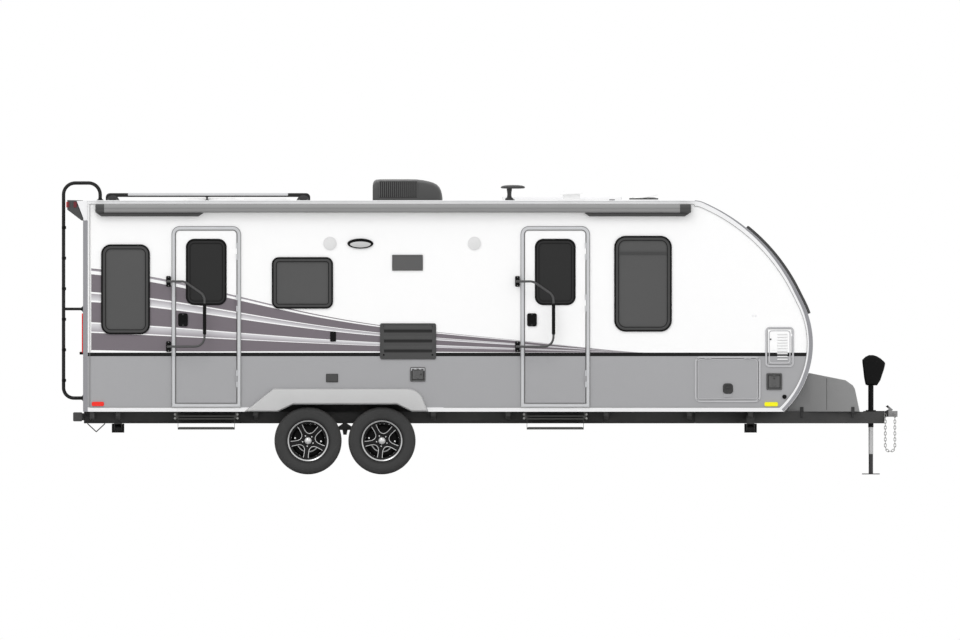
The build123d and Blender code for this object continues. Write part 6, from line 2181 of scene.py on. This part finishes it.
@dataclass
class RearEnd:
    """Ladder's collars, treads and flanges, the spoiler's ends and side lamps, and the tail lamps' gaskets."""

    ladder_x: float = -4.456
    ladder_y: float = -0.640
    half: float = 0.190
    rungs: tuple[float, float, int] = (1.006, 0.327, 6)
    wall_x: float = -4.245
    lamp_y: float = 1.080
    lamp: tuple[float, float, float] = (1.511, 0.120, 0.424)
    collar_shift: float = 0.004
    flange_z: tuple[float, float] = (0.817, 1.770)
    foot: tuple[float, float] = (-4.064, 2.932)

    def ladder(self) -> None:
        """Black collars where each rung meets a side tube, treads on the rungs and flanges on the wall."""
        piece = Piece("ladder_collars", BLACK_PLASTIC, slot="tube_black")
        collar = np.array([(0.0140, -0.017), (0.0222, -0.016), (0.0240, -0.010), (0.0240, 0.010), (0.0222, 0.016),
                           (0.0140, 0.017)])
        low, pitch, count = self.rungs
        for way in (-1, 1):
            y = self.ladder_y + way * self.half
            for number in range(count):
                piece.turned(collar, (self.ladder_x + self.collar_shift, y, low + number * pitch), 2, 28, hollow=True)
            for z in self.flange_z:
                flange = np.array([(0, -0.001), (0.034, -0.001), (0.034, -0.006), (0.030, -0.009), (0.022, -0.010),
                                   (0.0205, -0.020), (0, -0.020)])
                piece.turned(flange, (self.wall_x, y, z), 0, 28)
            foot = np.array([(0, 0.001), (0.036, 0.001), (0.036, 0.006), (0.030, 0.010), (0.023, 0.012),
                             (0.0205, 0.022), (0, 0.022)])
            piece.turned(foot, (self.foot[0], y, self.foot[1]), 2, 28)
        notches = [(0.0155 if step % 2 else 0.0146, -0.145 + step * 0.0145) for step in range(21)]
        tread = np.array([(0.0142, -0.150), (0.0155, -0.149), *notches, (0.0155, 0.149), (0.0142, 0.150)])
        for number in range(count):
            piece.turned(tread, (self.ladder_x, self.ladder_y, low + number * pitch), 1, 20)
        piece.build()

    def spoiler(self) -> None:
        """White gussets that close the spoiler's ends, with dark seams, and bezels for its lamps."""
        plate = Piece("spoiler_gussets", PALE_MOULDING, slot="white_plastic")
        seam = Piece("spoiler_seams", AWNING_DARK, slot="awning_grey")
        shape = np.array([(-4.316, 2.926), (-4.201, 2.929), (-4.201, 2.722), (-4.236, 2.720)])
        dark = np.array([(-4.417, 2.922), (-4.408, 2.934), (-4.330, 2.934), (-4.322, 2.922), (-4.240, 2.716),
                         (-4.263, 2.716), (-4.408, 2.826), (-4.417, 2.842)])
        for side in Side:
            y = side.value * 1.2268
            plate.prism(shape, y - side.value * 0.003, y + side.value * 0.006, 1, (0, 0, 0), 0.002)
            seam.prism(dark, side.value * 1.183, y + side.value * 0.002, 1, (0, 0, 0), 0.004)
            for x in np.linspace(-4.400, -4.345, 4):
                seam.prism(rounded_outline(0.004, 0.060, 0.0015), y, y + side.value * 0.0042, 1, (x, 0, 2.885), 0.001)
        plate.build()
        seam.build()
        lens = Piece("spoiler_side_lamps", SIDE_LAMP, slot="lamp_red")
        for side in Side:
            y = side.value * 1.2285
            for x, width in ((-4.404, 0.020), (-4.332, 0.034)):
                lens.prism(rounded_outline(width, 0.060, 0.006), y - side.value * 0.002, y + side.value * 0.006, 1,
                           (x, 0, 2.886), 0.002)
        lens.build()

    def bezels(self) -> None:
        """Black gaskets behind the tail lamps, with a foot below each."""
        piece = Piece("lamp_gaskets", BLACK_PLASTIC, slot="dark_plastic")
        z, width, height = self.lamp
        for side in Side:
            piece.prism(rounded_outline(width + 0.012, height + 0.012, 0.034), self.wall_x - 0.0005,
                        self.wall_x - 0.005, 0, (0, side.value * self.lamp_y, z), 0.0015)
            piece.prism(rounded_outline(0.060, 0.030, 0.006), self.wall_x - 0.0005, self.wall_x - 0.040, 0,
                        (0, side.value * self.lamp_y, z - height / 2 - 0.002), 0.004)
        piece.build()

    def build(self) -> None:
        """Builds the rear end's trim."""
        self.ladder()
        self.spoiler()
        self.bezels()


@dataclass
class Underside:
    """Bolts on the step brackets, ribs on the treads, and the spring clamps on the axles."""

    doors: tuple[tuple[str, float], ...] = (("step_rear", -2.929), ("step_front", 0.805))
    plate_x: float = 0.3345
    plate_y: float = -1.171
    bolt_z: tuple[float, float] = (0.600, 0.642)
    treads: tuple[tuple[float, float], ...] = ((0.504, 0.170), (0.600, 0.180))
    tread_half: float = 0.290
    step_y: float = -1.080
    axles: tuple[float, float] = (-1.840, -1.049)
    spring_y: float = 0.880
    axle_z: float = 0.360
    clamp_half: tuple[float, float] = (0.038, 0.033)
    clamp_rise: tuple[float, float, float] = (-0.040, 0.060, 0.075)

    def bolts(self) -> None:
        """Hexagon heads over washers, two on each step bracket's front edge."""
        piece = Piece("step_bolts", ZINC, slot="zinc")
        washer = np.array([(0, -0.003), (0.012, -0.003), (0.0125, -0.002), (0.0125, 0.001), (0, 0.001)])
        head = np.array([(0, -0.0100), (0.0070, -0.0100), (0.0088, -0.0085), (0.0088, -0.002), (0, -0.002)])
        for _, x in self.doors:
            for way in (-1, 1):
                for z in self.bolt_z:
                    spot = (x + way * self.plate_x, self.plate_y, z)
                    piece.turned(washer, spot, 1, 20).turned(head, spot, 1, 6)
        piece.build()

    def ribs(self) -> None:
        """Anti-slip ribs: slim rounded strips along each tread."""
        for body, x in self.doors:
            piece = Piece(f"{body}_ribs", TUBE_BLACK, body, "step_metal")
            for top, depth in self.treads:
                for y in np.linspace(-depth / 2 + 0.015, depth / 2 - 0.015, 8):
                    piece.prism(rounded_outline(0.007, 0.004, 0.0018, 3), x - self.tread_half, x + self.tread_half, 0,
                                (0, self.step_y + y, top + 0.0010))
            piece.build()

    def clamps(self) -> None:
        """U-bolts over each axle tube: a round bar bent over the tube, with a plate and nuts on the spring."""
        piece = Piece("spring_clamps", ZINC, slot="zinc")
        nut = np.array([(0, 0.012), (0.008, 0.012), (0.010, 0.010), (0.010, 0.0), (0, 0.0)])
        half_x, half_y = self.clamp_half
        low, seat, high = (self.axle_z + rise for rise in self.clamp_rise)
        for x in self.axles:
            for side in Side:
                middle = side.value * self.spring_y
                for way in (-1, 1):
                    y = middle + way * half_y
                    line = smooth_path([(x - half_x, y, high), (x - half_x, y, low), (x + half_x, y, low),
                                        (x + half_x, y, high)], 0.030, 8)
                    piece.grid(sweep(line, circle(0.006, 10), (0, 1, 0)), wrap_columns=True, cap_rows=True)
                    for along in (-half_x, half_x):
                        piece.turned(nut, (x + along, y, seat), 2, 6)
                piece.prism(rounded_outline(0.100, 0.088, 0.010), 0.052, 0.060, 2, (x, middle, self.axle_z), 0.001)
        piece.build()

    def build(self) -> None:
        """Builds the fittings under the floor."""
        self.bolts()
        self.ribs()
        self.clamps()


@dataclass
class Tongue:
    """Clips and creases of the cover on the drawbar, and the safety chains as round wire."""

    clips: tuple[tuple[float, float, float], ...] = ((3.444, 0.418, 0.441), (3.990, 0.272, 0.214))
    clip_z: tuple[float, float, float] = (0.606, 0.662, 0.722)
    creases: tuple[tuple[float, float, float], ...] = ((3.710, 0.369, 1.030), (3.300, 0.420, 1.120))
    chain_x: float = 4.388
    chain_y: float = 0.084
    top_z: float = 0.644
    pitch: float = 0.0317
    strand: int = 11
    loop: int = 5
    wire: float = 0.0035
    link: tuple[float, float] = (0.0391, 0.0210)

    def cover(self) -> None:
        """Dark clips from the cover down to the drawbar, and slim upright creases on the cover's sides, drawn in a
        darker grey as painted shade.
        """
        clip = Piece("cover_clips", DARK_PLASTIC, slot="dark_plastic")
        crease_shade = Piece("cover_creases", GREY_HATCH, slot="cover_grey")
        low, seat, high = self.clip_z
        for side in Side:
            for x, upper, lower in self.clips:
                clip.prism(rounded_outline(0.036, high - seat, 0.006), side.value * (upper - 0.004),
                           side.value * (upper + 0.012), 1, (x, 0, (high + seat) / 2), 0.002)
                clip.prism(rounded_outline(0.032, seat - low, 0.006), side.value * (lower - 0.004),
                           side.value * (lower + 0.010), 1, (x, 0, (seat + low) / 2), 0.002)
                near, far = sorted((upper, lower))
                clip.prism(rounded_outline(0.030, 0.010, 0.003), side.value * (near - 0.003),
                           side.value * (far + 0.010), 1, (x, 0, seat), 0.001)
            # Painted shade: each crease is a strip in a darker grey than the cover.
            for x, y, top in self.creases:
                crease_shade.prism(rounded_outline(0.005, top - 0.690, 0.002), side.value * (y - 0.006),
                             side.value * (y + 0.003), 1, (x, 0, (top + 0.690) / 2), 0.001)
        clip.build()
        crease_shade.build()

    def joints(self) -> np.ndarray:
        """Where the links meet: evenly down the rear strand, round half a circle, and up the front one.

        Returns:
            Rows of X and Z.
        """
        radius = self.pitch / (2 * math.sin(math.radians(90 / self.loop)))
        bottom = self.top_z - self.strand * self.pitch
        down = np.arange(self.strand) * self.pitch
        way = arc(180, 360, self.loop + 1)
        rear = np.column_stack([np.full(self.strand, self.chain_x - radius), self.top_z - down])
        bend = np.column_stack([self.chain_x + radius * np.cos(way), bottom + radius * np.sin(way)])
        front = np.column_stack([np.full(self.strand, self.chain_x + radius), self.top_z - down[::-1]])
        return np.vstack([rear, bend, front])

    def chains(self) -> None:
        """Oval links of round wire, each turned a quarter against the last.

        A link's path is a rounded oval whose long axis joins two neighbouring joints.
        """
        piece = Piece("chain_links", ZINC, slot="zinc", replaces=("safety_chains",))
        joints = self.joints()
        oval = rounded_outline(self.link[0], self.link[1], self.link[1] / 2 - 0.0001, 6)
        section = circle(self.wire, 8)
        upright = np.array([0.0, 1.0, 0.0])
        for side in Side:
            for number, (start, end) in enumerate(zip(joints[:-1], joints[1:])):
                ahead = (end - start) / np.linalg.norm(end - start)
                along = np.array([ahead[0], 0.0, ahead[1]])
                flat = np.array([-ahead[1], 0.0, ahead[0]])
                across, normal = (upright, flat) if number % 2 else (flat, upright)
                middle = np.array([(start[0] + end[0]) / 2, side.value * self.chain_y, (start[1] + end[1]) / 2])
                path = middle + oval[:, :1] * along + oval[:, 1:] * across
                piece.grid(sweep(path, section, tuple(normal), closed=True), wrap_rows=True, wrap_columns=True)
        piece.build()

    def build(self) -> None:
        """Builds the drawbar's fittings."""
        self.cover()
        self.chains()


def main() -> None:
    """Loads the frame, dresses it and builds every further piece."""
    logging.basicConfig(level=logging.INFO, format="%(name)s %(message)s")
    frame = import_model()
    Studio().build()
    Dressing().build(frame["nodes"])
    Softened().build(frame["nodes"])
    for part in (Wheels(), RoofGear(), Awning(), Mouldings(), SideWindows(), EntryDoors(), Hatches(), WallFittings(),
                 RearEnd(), Underside(), Tongue()):
        part.build()


if __name__ == "__main__":
    main()
